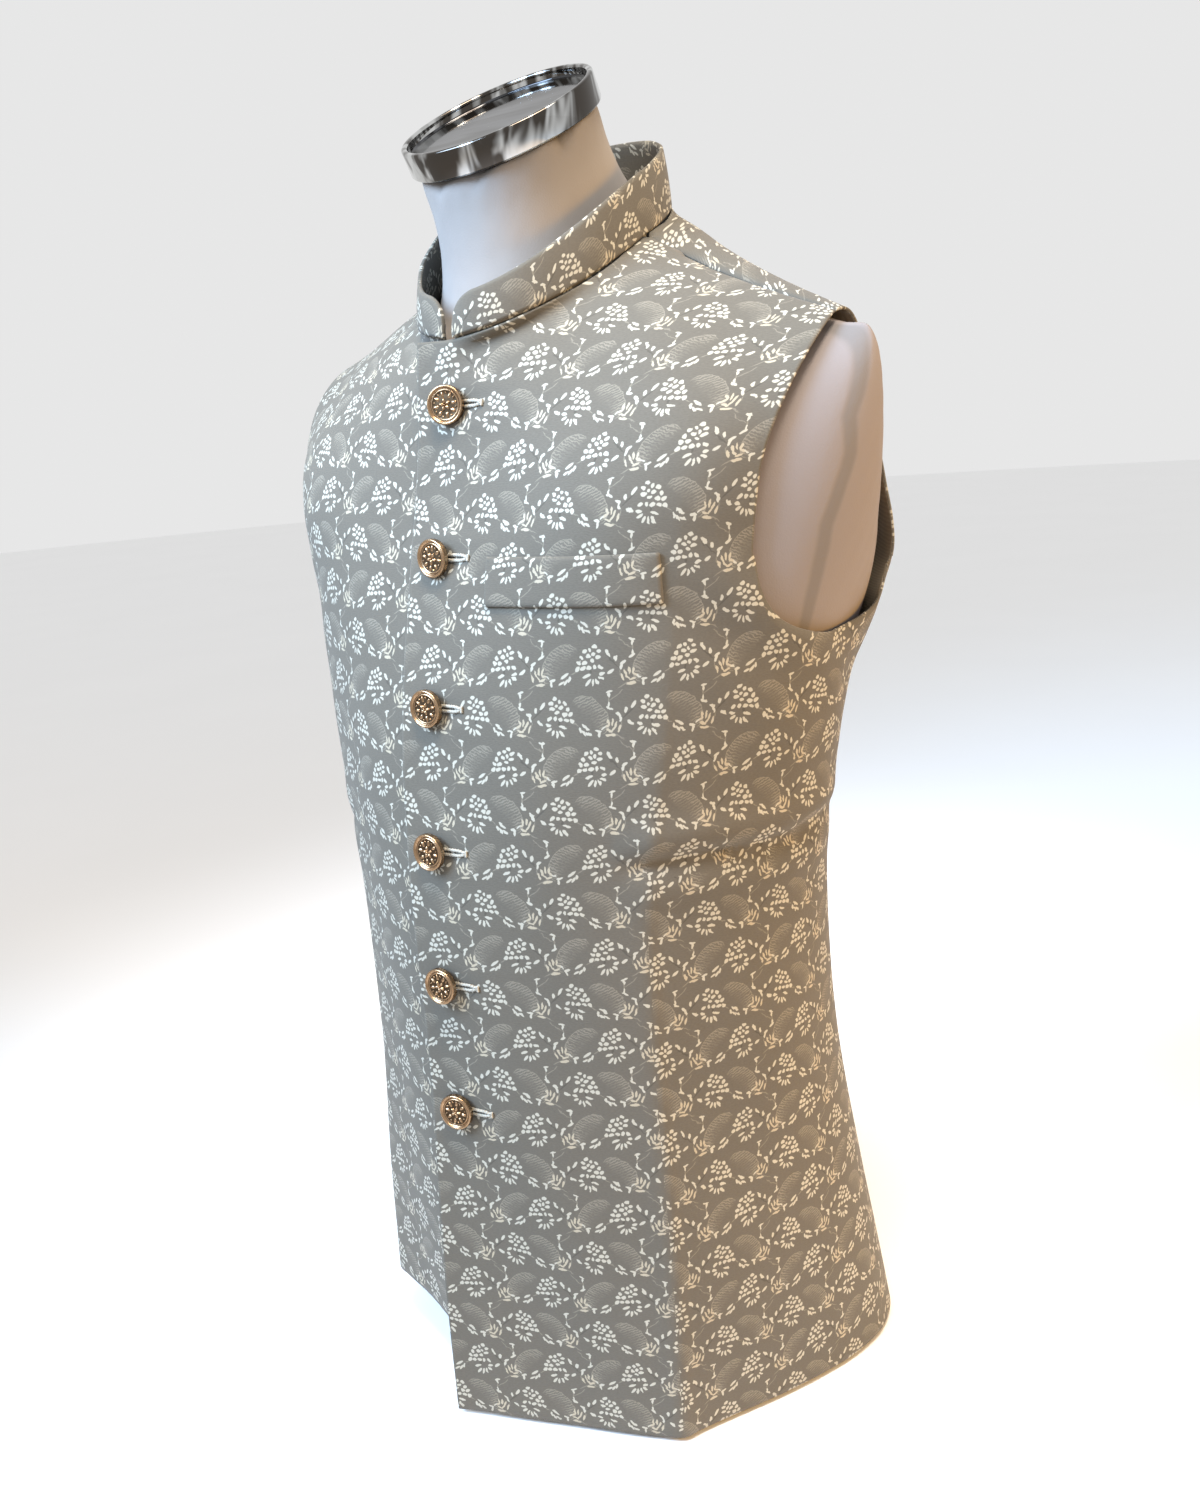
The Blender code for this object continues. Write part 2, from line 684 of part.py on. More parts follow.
def main():
    clear_scene()
    cloth = material("jacquard_suiting", (0.46, 0.47, 0.43), 0.0, 0.75)
    gold = material("antique_gold", (0.62, 0.44, 0.20), 1.0, 0.32)
    cover = material("form_cover", (0.66, 0.62, 0.58), 0.0, 0.85)
    chrome = material("polished_chrome", (0.75, 0.75, 0.76), 1.0, 0.08)
    cloth_tree = build_cloth(cloth)
    build_collar(cloth)
    build_welt(cloth)
    build_buttons(gold)
    build_form(cover, cloth_tree)
    build_cap(chrome)
    for made in bpy.data.objects:
        made.location = MIDDLE_SHIFT


main()
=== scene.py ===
"""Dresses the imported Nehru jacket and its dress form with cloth, metal and light.

The file is laid out as an add-on and is run as a script. Lengths are in metres
unless a name or comment says otherwise. The front faces -Y and the wearer's
left is +X.
"""

from math import cos, pi, radians, sin, sqrt

import bmesh
import bpy
import numpy as np
from mathutils import Matrix, Vector
from mathutils.bvhtree import BVHTree
from mathutils.interpolate import poly_3d_calc


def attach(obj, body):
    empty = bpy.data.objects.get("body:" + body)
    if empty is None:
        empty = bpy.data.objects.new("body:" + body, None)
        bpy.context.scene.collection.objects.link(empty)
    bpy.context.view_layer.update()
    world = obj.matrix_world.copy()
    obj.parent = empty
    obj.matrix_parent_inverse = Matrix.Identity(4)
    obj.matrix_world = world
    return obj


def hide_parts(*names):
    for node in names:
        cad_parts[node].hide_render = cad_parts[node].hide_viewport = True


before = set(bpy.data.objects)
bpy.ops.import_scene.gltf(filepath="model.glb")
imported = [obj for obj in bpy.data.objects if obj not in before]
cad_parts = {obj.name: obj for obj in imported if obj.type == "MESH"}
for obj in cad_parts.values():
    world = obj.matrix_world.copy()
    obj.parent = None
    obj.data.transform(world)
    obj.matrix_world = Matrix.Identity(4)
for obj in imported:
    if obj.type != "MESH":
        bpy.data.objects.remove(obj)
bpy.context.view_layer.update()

bl_info = {
    "name": "Nehru Jacket on Dress Form",
    "version": (1, 0, 0),
    "blender": (4, 5, 0),
    "location": "View3D > Sidebar > Jacket",
    "description": "Builds a floral jacquard Nehru jacket, its gold buttons and its dress form",
    "category": "Object",
}


def linear(code):
    """An sRGB hex colour as linear RGB."""
    found = []
    for k in (1, 3, 5):
        value = int(code[k : k + 2], 16) / 255
        found.append(value / 12.92 if value <= 0.04045 else ((value + 0.055) / 1.055) ** 2.4)
    return tuple(found)


# Height of the left front's hem above the floor, and the shift that puts the
# origin under the middle of the whole.
HEM_Z = 0.004
MIDDLE_SHIFT = Vector((0.0, 0.01523, 0.0))

# The jacket's half section at each height above the hem, in millimetres and
# degrees, from the centre front round to the centre back.
SECTIONS = (
    # height, front, turn, crease x, crease y, comes_in, goes_out,
    # side x, side y, back x, back y, back
    (0, 161, 20, 130, -107, 24, 60, 193, 52, 168, 116, 138),
    (120, 159, 14, 129, -105, 30, 58, 182, 30, 153, 104, 129),
    (250, 154, 8, 124, -101, 34, 55, 175, 15, 141, 93, 119),
    (380, 152, 4, 126, -102, 36, 50, 177, 10, 136, 93, 118),
    (480, 143, 2, 140, -96, 36, 44, 195, 12, 147, 97, 124),
    (580, 122, 0, 150, -88, 36, 38, 211, 22, 165, 98, 121),
    (660, 97, 0, 164, -81, 34, 38, 211, 18, 160, 88, 108),
    (740, 72, 0, 172, -63, 34, 38, 205, 16, 153, 76, 92),
)
TURN_Z = 0.620
FRONT_NECK = Vector((0.0, -0.090, 0.723))
SIDE_NECK = Vector((0.076, 0.021, 0.778))
BACK_NECK = Vector((0.0, 0.088, 0.809))
SHOULDER_TIP = Vector((0.2035, 0.0215, 0.722))
FRONT_NECK_Q = 0.75
ARM_FRONT_Q = 1.37
ARM_BACK_Q = 2.60
BACK_NECK_Q = 3.35
SIDE_SEAM_HEM_Q = 3.0
FRONT_COLUMNS = (0.0, 0.12, 0.24, 0.36, 0.48, 0.60, 0.75, 0.88, 1.0, 1.08, 1.16, 1.23, 1.30, 1.37)
SIDE_COLUMNS = (0.0, 0.04, 0.10, 0.18, 0.28, 0.40, 0.55, 0.70, 0.85, 1.0)
ARMHOLE_FLOOR = (0.590, 0.569, 0.554, 0.545, 0.539, 0.535, 0.536, 0.541, 0.550, 0.566)
SHOULDER_SHARES = [
    (q - FRONT_NECK_Q) / (ARM_FRONT_Q - FRONT_NECK_Q) for q in FRONT_COLUMNS if q >= FRONT_NECK_Q
]
BACK_COLUMNS = [
    (BACK_NECK_Q - (BACK_NECK_Q - ARM_BACK_Q) * t - ARM_BACK_Q) / (4 - ARM_BACK_Q)
    for t in reversed(SHOULDER_SHARES)
] + [0.59, 0.65, 0.72, 0.79, 0.86, 0.93, 1.0]
LOW_ROWS = (0.0, 0.035, 0.075, 0.115, 0.155, 0.195, 0.235, 0.275, 0.315, 0.352, 0.385,
            0.412, 0.445, 0.480, 0.515, 0.552, 0.590)
HIGH_ROWS = (0.0, 0.16, 0.32, 0.46, 0.60, 0.72, 0.83, 0.92, 1.0)
WRAP_STEPS = 2
UNDER_LAP = 0.0034
RIGHT_HEM_LIFT = 0.042
BUTTON_COUNT = 6
BUTTON_TOP_Z = 0.685
BUTTON_PITCH = 0.090
# How far each button has swung round on its shank, in degrees.
BUTTON_SWINGS = (18, -2, 2, 1, 3, 11)
WELT_SPAN = (0.040, 0.146, 0.567, 0.595)
COLLAR_FRONT_HEIGHT = 0.026
COLLAR_BACK_HEIGHT = 0.038
COLLAR_CORNER = 0.016
COLLAR_LEAN = 0.10
# How far the collar reaches down behind the neck seam.
COLLAR_SEAT = 0.0035
# Thickness of the pocket welt, and how far the rims of the panels and of the welt bulge.
WELT_WALL = 0.0021
PANEL_EDGE = 0.0004
WELT_EDGE = 0.0006
# The seams between panels: half their gap, and how far their edges sink in.
SEAM_GAP = 0.0009
SEAM_SINK = 0.0015
# Height of the waist fold, top of the dart below it, and how far the dart
# breaks the pattern, along the cloth and up it.
FOLD_Z = 0.407
DART_TOP_Z = 0.40
DART_CUT = (0.024, 0.013)
# The station where the right front's edge ends, under the left front.
UNDERLAP_Q = -0.155
# A buttonhole: where it starts and how long it is, half its gap, and its cord's radius.
HOLE_START_X = 0.004
HOLE_LENGTH = 0.0195
HOLE_HALF_GAP = 0.0016
HOLE_CORD = 0.00095
NECK_MIDDLE = Vector((0.0, -0.018, 0.848))
NECK_TILT = radians(28)

# One repeat of the woven pattern, in millimetres. The shapes below fill a cell
# REPEAT_WIDTH wide and ROW_HEIGHT high. Every other row is mirrored, and slid
# along by ROW_SLIDE.
REPEAT_WIDTH = 55.5
ROW_HEIGHT = 30.5
ROW_SLIDE = 21.4
# Ovals: x, y, half length, half width, and the angle of the length in degrees.
CLUSTER = (
    (32.2, 25.4, 1.6, 1.2, 20), (30.0, 22.6, 1.6, 1.1, 160), (35.2, 23.6, 1.3, 1.0, 75),
    (38.6, 22.6, 1.6, 1.2, 145), (33.2, 21.0, 1.2, 0.9, 60), (30.4, 19.2, 1.8, 1.1, 172),
    (36.0, 20.0, 1.6, 1.1, 20), (40.4, 19.0, 1.5, 1.2, 70), (33.8, 17.2, 1.5, 1.0, 8),
    (42.0, 16.0, 1.6, 1.2, 35), (38.4, 16.0, 1.7, 1.3, 160), (28.8, 13.4, 1.8, 1.1, 35),
    (32.4, 13.4, 1.4, 1.1, 85), (35.8, 13.0, 1.6, 1.2, 12), (39.6, 12.6, 1.7, 1.1, 168),
    (43.0, 12.2, 1.6, 1.3, 130),
)
BLOSSOM = (
    (28.0, 9.6, 1.8, 1.0, 165), (28.6, 6.8, 1.9, 0.9, 28), (31.0, 4.9, 2.0, 0.8, 68),
    (33.6, 4.1, 2.2, 0.8, 98), (36.4, 4.3, 2.5, 0.9, 128), (37.2, 8.2, 2.5, 0.9, 160),
)
LEAVES = (
    (20.0, 18.2, 1.8, 1.0, 84), (24.6, 21.2, 2.6, 1.0, 58), (22.8, 10.6, 2.3, 1.0, 146),
    (51.2, 8.2, 3.0, 0.9, 146), (48.0, 6.4, 1.8, 0.8, 104), (50.2, 4.6, 2.1, 0.8, 128),
    (53.0, 4.0, 2.2, 0.7, 150),
)
BELLS = (
    (15.6, 15.6, 1.9, 0.9, 150), (16.5, 13.4, 2.2, 0.8, 106),
    (3.3, 5.6, 2.0, 0.8, 168), (3.9, 3.6, 2.0, 0.8, 82), (6.4, 7.4, 1.6, 0.5, 40),
    (10.4, 29.2, 2.0, 0.7, 14), (10.0, 27.4, 1.8, 0.7, 96),
    (10.4, 19.4, 2.2, 0.8, 150), (9.9, 21.4, 1.8, 0.6, 92),
)
LOTUS = (
    (8.6, 8.4, 2.0, 0.7, 28), (9.6, 10.8, 2.1, 0.7, 104), (12.0, 10.9, 2.3, 0.7, 86),
    (14.0, 9.4, 2.4, 0.7, 68), (16.0, 7.0, 2.4, 0.7, 74), (12.6, 6.9, 2.0, 0.6, 48),
    (10.8, 3.2, 3.0, 0.9, 174), (10.0, 5.8, 2.2, 0.7, 160),
)
VINES = (
    (9.9, 24.3, 2.2, 0.40, 90), (13.4, 26.0, 3.6, 0.30, 33), (17.0, 29.0, 2.0, 0.30, 50),
    (15.8, 2.2, 3.0, 0.32, 150), (45.2, 10.0, 1.8, 0.35, 150), (17.4, 9.6, 1.6, 0.30, 84),
)
SHADED_STEMS = (
    (21.6, 16.4, 5.2, 0.45, 43), (35.0, 10.8, 1.3, 0.7, 90),
)
# The shell: x, y, half length, half width and angle of its outer edge. It
# crosses the end of the cell, so it is drawn at both ends.
SHELL = (54.0, 15.0, 14.0, 9.5, 133)


class JacketSettings(bpy.types.PropertyGroup):
    """Sizes and colours of the jacket and its form."""

    wall: bpy.props.FloatProperty(
        name="Cloth Thickness", description="Thickness of one jacket panel",
        default=0.0016, min=0.0005, max=0.003, unit="LENGTH")
    fineness: bpy.props.IntProperty(
        name="Fineness", description="Steps between the sized rows and columns of the panels",
        default=6, min=1, max=7)
    crease_depth: bpy.props.FloatProperty(
        name="Crease Depth", description="How deep the waist fold is",
        default=0.0040, min=0.0, max=0.005, unit="LENGTH")
    ground: bpy.props.FloatVectorProperty(
        name="Ground", description="Colour of the woven ground",
        subtype="COLOR", size=3, min=0, max=1, default=linear("#56524a"))
    flower: bpy.props.FloatVectorProperty(
        name="Flower", description="Colour of the raised flowers",
        subtype="COLOR", size=3, min=0, max=1, default=linear("#a6a397"))
    shell: bpy.props.FloatVectorProperty(
        name="Shell", description="Colour of the tonal shells and the vines",
        subtype="COLOR", size=3, min=0, max=1, default=linear("#767166"))
    cover: bpy.props.FloatVectorProperty(
        name="Form Cover", description="Colour of the form's cover cloth",
        subtype="COLOR", size=3, min=0, max=1, default=linear("#8a8683"))
    gold: bpy.props.FloatVectorProperty(
        name="Gold", description="Colour of the buttons' plating",
        subtype="COLOR", size=3, min=0, max=1, default=linear("#b4987a"))


# ---------------------------------------------------------------- shape


def hermite(p, q, m, n, t):
    """A point on the cubic from p to q with end slopes m and n."""
    return (
        p * (2 * t**3 - 3 * t**2 + 1)
        + m * (t**3 - 2 * t**2 + t)
        + q * (3 * t**2 - 2 * t**3)
        + n * (t**3 - t**2)
    )


def blend(t):
    """0 to 1 with a soft start and end."""
    t = min(1.0, max(0.0, t))
    return t * t * (3 - 2 * t)


def sizes_at(height):
    """The section's sizes at a height above the hem, in metres and radians."""
    heights = [row[0] / 1000 for row in SECTIONS]
    height = min(max(height, heights[0]), heights[-1])
    k = max(i for i in range(len(heights) - 1) if heights[i] <= height)
    span = heights[k + 1] - heights[k]
    t = (height - heights[k]) / span
    found = []
    for column in range(1, len(SECTIONS[0])):
        here, after = SECTIONS[k][column], SECTIONS[k + 1][column]
        slope = (after - here) / span
        before = slope
        if k:
            before = (here - SECTIONS[k - 1][column]) / (heights[k] - heights[k - 1])
        beyond = slope
        if k + 2 < len(SECTIONS):
            beyond = (SECTIONS[k + 2][column] - after) / (heights[k + 2] - heights[k + 1])
        m, n = (before + slope) / 2 * span, (slope + beyond) / 2 * span
        value = hermite(here, after, m, n, t)
        found.append(radians(value) if column in (2, 5, 6) else value / 1000)
    return found


def heading(angle):
    """The direction at an angle from +X."""
    return Vector((cos(angle), sin(angle)))


def level_point(q, height):
    """The half section's point at station q: 1 is the crease, 2 the side, 3 the back corner."""
    front, turn, cx, cy, comes_in, goes_out, sx, sy, bx, by, back = sizes_at(height)
    points = [Vector((0, -front)), Vector((cx, cy)), Vector((sx, sy)), Vector((bx, by)), Vector((0, back))]
    if q < 0:
        x, y = points[0] + heading(turn) * (points[1] - points[0]).length * q
        return Vector((x, y, height))
    corner = (points[4] - points[2]).normalized()
    leaves = (heading(turn), heading(goes_out), Vector((0, 1)), corner)
    arrives = (heading(comes_in), Vector((0, 1)), corner, Vector((-1, 0)))
    k = min(3, int(q))
    reach = (points[k + 1] - points[k]).length
    x, y = hermite(points[k], points[k + 1], leaves[k] * reach, arrives[k] * reach, q - k)
    # The back edge of the armhole stands off the body a little.
    flare = max(0.0, 1 - ((q - ARM_BACK_Q) / 0.5) ** 2) * max(0.0, 1 - ((height - 0.590) / 0.085) ** 2)
    return Vector((x + 0.017 * flare, y + 0.004 * flare, height))


def crest(q):
    """The top edge at station q, and the way the cloth arrives there."""
    if q < 0:
        spot = FRONT_NECK + Vector((0.165 * q, 0.0, 0.0))
        rise, swing = radians(84), radians(90)
    elif q <= FRONT_NECK_Q:
        a = pi / 2 * q / FRONT_NECK_Q
        spot = Vector((
            SIDE_NECK.x * sin(a),
            SIDE_NECK.y + (FRONT_NECK.y - SIDE_NECK.y) * cos(a),
            FRONT_NECK.z + (SIDE_NECK.z - FRONT_NECK.z) * (1 - cos(a)),
        ))
        rise, swing = radians(84 - 50 * sin(a)), radians(90 + 20 * sin(a))
    elif q <= ARM_FRONT_Q:
        t = (q - FRONT_NECK_Q) / (ARM_FRONT_Q - FRONT_NECK_Q)
        spot = SIDE_NECK.lerp(SHOULDER_TIP, t)
        spot.z -= 0.004 * sin(pi * t)
        rise, swing = radians(34 - 12 * t), radians(110 - 12 * t)
    elif q <= BACK_NECK_Q:
        t = (BACK_NECK_Q - q) / (BACK_NECK_Q - ARM_BACK_Q)
        spot = SIDE_NECK.lerp(SHOULDER_TIP, t)
        spot.z -= 0.004 * sin(pi * t)
        rise, swing = radians(-42 + 24 * t), radians(-110 + 12 * t)
    else:
        a = pi / 2 * (4 - q) / (4 - BACK_NECK_Q)
        spot = Vector((
            SIDE_NECK.x * sin(a) ** 0.75,
            SIDE_NECK.y + (BACK_NECK.y - SIDE_NECK.y) * max(0.0, cos(a)) ** 0.75,
            SIDE_NECK.z + (BACK_NECK.z - SIDE_NECK.z) * max(0.0, cos(a)) ** 0.8,
        ))
        rise, swing = radians(66 - 108 * sin(a) ** 2.5), radians(-90 - 20 * sin(a))
    way = Vector((cos(rise) * cos(swing), cos(rise) * sin(swing), sin(rise)))
    return spot, way


def high_point(q, t):
    """From the level section at TURN_Z (t = 0) over to the top edge (t = 1)."""
    start = level_point(q, TURN_Z)
    climb = (level_point(q, TURN_Z + 0.005) - level_point(q, TURN_Z - 0.005)) * 100
    end, way = crest(q)
    reach = (end - start).length
    return hermite(start, end, climb * reach, way * reach, t)


def upper_points(q, last):
    """The part of a column above the height called last."""
    rest = TURN_Z - last
    whole = rest + (crest(q)[0] - level_point(q, TURN_Z)).length
    points = []
    for t in HIGH_ROWS[1:]:
        run = t * whole
        if run < rest:
            points.append(level_point(q, last + run))
        else:
            points.append(high_point(q, (run - rest) / (whole - rest)))
    return points


def seam_q(height):
    """Where the seam behind the side lies, at a height above the hem."""
    return SIDE_SEAM_HEM_Q + (ARM_BACK_Q - SIDE_SEAM_HEM_Q) * blend(height / 0.54)


def soften(columns, first_row, passes=6):
    """Eases a run of columns sideways above a row, leaving the outline where it is."""
    for _ in range(passes):
        eased = [list(column) for column in columns]
        for k in range(1, len(columns) - 1):
            for j in range(first_row, len(columns[k]) - 1):
                middle = (columns[k - 1][j] + columns[k + 1][j]) / 2
                share = 0.5 * blend((j - first_row + 1) / 3)
                eased[k][j] = columns[k][j].lerp(middle, share)
        columns = eased
    return columns


def column_points(q):
    """A full column, from the hem to the top edge."""
    return [level_point(q, z) for z in LOW_ROWS] + upper_points(q, LOW_ROWS[-1])


def front_columns(side):
    """Full columns, from the wrap edge to the armhole, then short ones round the side."""
    tall = [column_points(UNDERLAP_Q * step / WRAP_STEPS) for step in range(WRAP_STEPS, 0, -1)]
    tall += soften([column_points(q) for q in FRONT_COLUMNS], len(LOW_ROWS))
    short = []
    for share, floor in zip(SIDE_COLUMNS[1:], ARMHOLE_FLOOR[1:]):
        column = []
        for z in LOW_ROWS:
            height = z * floor / LOW_ROWS[-1]
            q = ARM_FRONT_Q + (seam_q(height) - ARM_FRONT_Q) * share
            column.append(level_point(q, height))
        short.append(column)
    if side < 0:
        count = len(tall) + len(short)
        for k, column in enumerate(tall + short):
            fade = 1 - blend((k - 7) / (count - 8))
            for j, spot in enumerate(column):
                if spot.z < 0.30 and fade > 0:
                    column[j] = spot + Vector((0, 0, RIGHT_HEM_LIFT * fade * (1 - spot.z / 0.30) ** 2))
    return tall, short


def at_height(column, z):
    """The point of a column at a height above the hem."""
    for low, high in zip(column, column[1:]):
        if z <= high.z:
            break
    return low.lerp(high, (z - low.z) / max(high.z - low.z, 1e-9))


def tuck_under(columns, over):
    """Lays the right front's edge behind the left front."""
    for column in columns[:WRAP_STEPS]:
        column[-1] = column[-1].lerp(column[-2], 0.3)
        for j, spot in enumerate(column):
            across = [at_height(other, spot.z) for other in over[WRAP_STEPS : WRAP_STEPS + 6]]
            for near, far in zip(across, across[1:]):
                if -spot.x <= far.x:
                    break
            share = (-spot.x - near.x) / max(far.x - near.x, 1e-9)
            column[j] = Vector((spot.x, near.y + (far.y - near.y) * share, spot.z))
    for column in columns[: WRAP_STEPS + 7]:
        for j, spot in enumerate(column):
            share = 1 - blend((spot.x - 0.026) / 0.045)
            out = front_out(max(0.0, min(0.3, spot.x / 0.14)), min(spot.z, 0.715))
            column[j] = spot - Vector((-out.x if spot.x >= 0 else out.x, out.y, 0)) * UNDER_LAP * share
    return columns


def front_at(q, z):
    """The front's point at station q and height z above the hem."""
    if z <= TURN_Z:
        return level_point(q, z)
    low, high = 0.0, 1.0
    for _ in range(20):
        middle = (low + high) / 2
        if high_point(q, middle).z < z:
            low = middle
        else:
            high = middle
    return high_point(q, (low + high) / 2)


def front_out(q, z):
    """The direction out of the front at station q and height z above the hem."""
    across = (front_at(q + 0.02, z) - front_at(q - 0.02, z)).normalized()
    up = (front_at(q, min(z + 0.004, 0.722)) - front_at(q, z - 0.004)).normalized()
    return across.cross(up).normalized()


def back_columns():
    """The back's columns, from the side seam to the centre back."""
    columns = []
    for share in BACK_COLUMNS:
        column = []
        for z in LOW_ROWS:
            height = z * ARMHOLE_FLOOR[-1] / LOW_ROWS[-1]
            start = seam_q(height)
            column.append(level_point(start + (4 - start) * share, height))
        q = ARM_BACK_Q + (4 - ARM_BACK_Q) * share
        columns.append(column + upper_points(q, column[-1].z))
    return soften(columns, len(LOW_ROWS))


# ------------------------------------------------- cloth in flat lengths


def cloth_coordinates(columns, start_column):
    """Lengths along the cloth at each point: across from a column, and up from the hem."""
    rows = len(columns[0])
    across = np.zeros((len(columns), rows))
    up = np.zeros((len(columns), rows))
    for k, column in enumerate(columns):
        for j in range(1, rows):
            step = column[j] - column[j - 1]
            up[k, j] = up[k, j - 1] + sqrt(step.y**2 + step.z**2)
    for j in range(rows):
        for k in range(start_column + 1, len(columns)):
            step = columns[k][j] - columns[k - 1][j]
            across[k, j] = across[k - 1, j] + sqrt(step.x**2 + step.y**2)
        for k in range(start_column - 1, -1, -1):
            step = columns[k][j] - columns[k + 1][j]
            across[k, j] = across[k + 1, j] - sqrt(step.x**2 + step.y**2)
    # Over the chest the neck cuts the rows short, so lengths there go by x alone.
    turn = len(LOW_ROWS)
    for j in range(turn, rows):
        across[start_column, j] = abs(columns[start_column][j].x)
        share = blend((j - turn + 1) / 5)
        for k in range(start_column + 1, len(columns)):
            step = columns[k][j] - columns[k - 1][j]
            inner = share * (1 - blend((k / len(columns) - 0.45) / 0.25))
            across[k, j] = across[k - 1, j] + sqrt(step.x**2 + (1 - inner) * step.y**2)
    return across, up


def spline_rows(values, steps, before, after):
    """Smooth values between rows, with a ghost row at each end."""
    padded = np.concatenate([before[None], values, after[None]])
    found = []
    for k in range(len(values) - 1):
        a, b, c, d = padded[k], padded[k + 1], padded[k + 2], padded[k + 3]
        for s in range(steps):
            t = s / steps
            found.append(0.5 * (2 * b + (c - a) * t + (2 * a - 5 * b + 4 * c - d) * t**2
                                + (3 * b - a - 3 * c + d) * t**3))
    found.append(values[-1])
    return np.array(found)


def refined(grid, steps, before=None, after=None):
    """A grid of points with more columns and rows; before and after are ghost rows."""
    first = 2 * grid[:, 0] - grid[:, 1] if before is None else before
    last = 2 * grid[:, -1] - grid[:, -2] if after is None else after
    tall = spline_rows(grid.transpose(1, 0, 2), steps, first, last).transpose(1, 0, 2)
    return spline_rows(tall, steps, 2 * tall[0] - tall[1], 2 * tall[-1] - tall[-2])


def grid_array(columns, across, up):
    """Columns as an array of x, y, z and the two cloth lengths."""
    return np.array([
        [(p.x, p.y, p.z, across[k, j], up[k, j]) for j, p in enumerate(column)]
        for k, column in enumerate(columns)
    ])


def front_blocks(side, steps, left_tall=None):
    """The front as two fine grids: the whole width up to the armhole, and the chest above it."""
    tall, short = front_columns(side)
    if side < 0:
        tall = tuck_under(tall, left_tall)
    low_rows = len(LOW_ROWS)
    across, up = cloth_coordinates(tall, WRAP_STEPS)
    high = grid_array(tall, across, up)
    low_columns = [column[:low_rows] for column in tall] + short
    across, up = cloth_coordinates(low_columns, WRAP_STEPS)
    low = grid_array(low_columns, across, up)
    ghost = 2 * low[:, -1] - low[:, -2]
    ghost[: len(tall)] = high[:, low_rows]
    lower = refined(low, steps, after=ghost)
    upper = refined(high[:, low_rows - 1 :], steps, before=high[:, low_rows - 2])
    upper[:, 0] = lower[: upper.shape[0], -1]
    return tall, (lower, upper)


def mirrored(grid):
    """The same grid on the other side of the centre line."""
    flipped = grid.copy()
    flipped[..., 0] *= -1
    return flipped


def faces_of(grid, offset, flip):
    """Corner numbers of a grid's faces."""
    columns, rows = grid.shape[:2]
    k, j = np.meshgrid(np.arange(columns - 1), np.arange(rows - 1), indexing="ij")
    a = (k * rows + j).ravel() + offset
    found = np.stack([a, a + rows, a + rows + 1, a + 1], axis=1)
    return found[:, ::-1] if flip else found


def vertex_normals(points, faces):
    """The direction out at each point, averaged over its faces."""
    first = points[faces[:, 2]] - points[faces[:, 0]]
    second = points[faces[:, 3]] - points[faces[:, 1]]
    face_normals = np.cross(first, second)
    normals = np.zeros_like(points)
    for k in range(4):
        np.add.at(normals, faces[:, k], face_normals)
    return normals / np.maximum(np.linalg.norm(normals, axis=1, keepdims=True), 1e-12)


def creases(points, crease_depth, over):
    """How far the worn cloth stands in or out of its cut shape, in metres.

    over is 1 where a point belongs to the left front, which lies on top.
    """
    x, y, z = points[:, 0], points[:, 1], points[:, 2]
    width = np.abs(x)
    moved = np.zeros(len(points))
    # Slow unevenness of the whole cloth.
    moved += 0.0006 * np.sin(31 * x + 3 * np.sin(9 * z)) * np.sin(13 * z + 1.3)
    moved += 0.0004 * np.sin(57 * x + 40 * y + 21 * z)
    # The fold across each side at the waist.
    beside = np.clip((width - 0.112) / 0.02, 0, 1) * np.clip((0.075 - y) / 0.06, 0, 1)
    beside *= np.where(x > 0, 1.0, 0.3)
    line = z - FOLD_Z - 0.0015 * np.sin(60 * y)
    moved += 1.1 * crease_depth * beside * np.exp(-(((line - 0.014) / 0.012) ** 2))
    moved -= 1.5 * crease_depth * beside * np.exp(-np.abs(line) / 0.006)
    moved += 0.6 * crease_depth * beside * np.exp(-(((line + 0.018) / 0.014) ** 2))
    # Drag lines from the buttons and their holes.
    for k in range(BUTTON_COUNT):
        height = BUTTON_TOP_Z - BUTTON_PITCH * k
        for middle, depth, long, tall in (
            (0.006, -0.0011, 0.016, 0.0075), (0.018, 0.0008, 0.024, 0.006),
            (0.016, 0.0009, 0.020, 0.0070),
        ):
            rise = 0.010 if depth > 0 else 0.0
            sway = -1 if middle == 0.016 else 1
            away = ((x - middle) / long) ** 2 + ((z - height - sway * rise) / tall) ** 2
            moved += depth * np.exp(-away) * (y < 0)
    # The overlapping edge stands away, most of all above the top button.
    edge = np.exp(-np.maximum(x + 0.022, 0) / 0.014) * (y < 0) * (x < 0.08) * (x > -0.0235)
    moved += over * edge * (0.0010 + 0.0022 * np.exp(-(((z - 0.705) / 0.05) ** 2)))
    # Slack below the armhole and in front of it.
    slant = (z - 0.545) + 0.9 * (y + 0.05)
    near = np.exp(-(((width - 0.185) / 0.035) ** 2) - (((z - 0.555) / 0.05) ** 2))
    moved += 0.0016 * near * np.sin(slant * 95)
    # Long soft hollows down the skirt of the jacket.
    skirt = np.clip((0.36 - z) / 0.3, 0, 1)
    moved += 0.0016 * skirt * np.sin(26 * x + 17 * y + 1.0) * np.clip((0.1 - y) / 0.05, 0, 1)
    moved += 0.0014 * skirt * np.sin(44 * (x - y) + 2.0 + 2 * z)
    return moved


def mesh_object(name, points, faces, uvs):
    """A smooth mesh object; uvs holds one pair for each corner of each face."""
    data = bpy.data.meshes.new(name)
    data.from_pydata([tuple(p) for p in points], [], [tuple(int(i) for i in f) for f in faces])
    layer = data.uv_layers.new(name="cloth")
    layer.data.foreach_set("uv", np.asarray(uvs, np.float32).ravel())
    data.validate()
    data.shade_smooth()
    made = bpy.data.objects.new(name, data)
    bpy.context.scene.collection.objects.link(made)
    return made


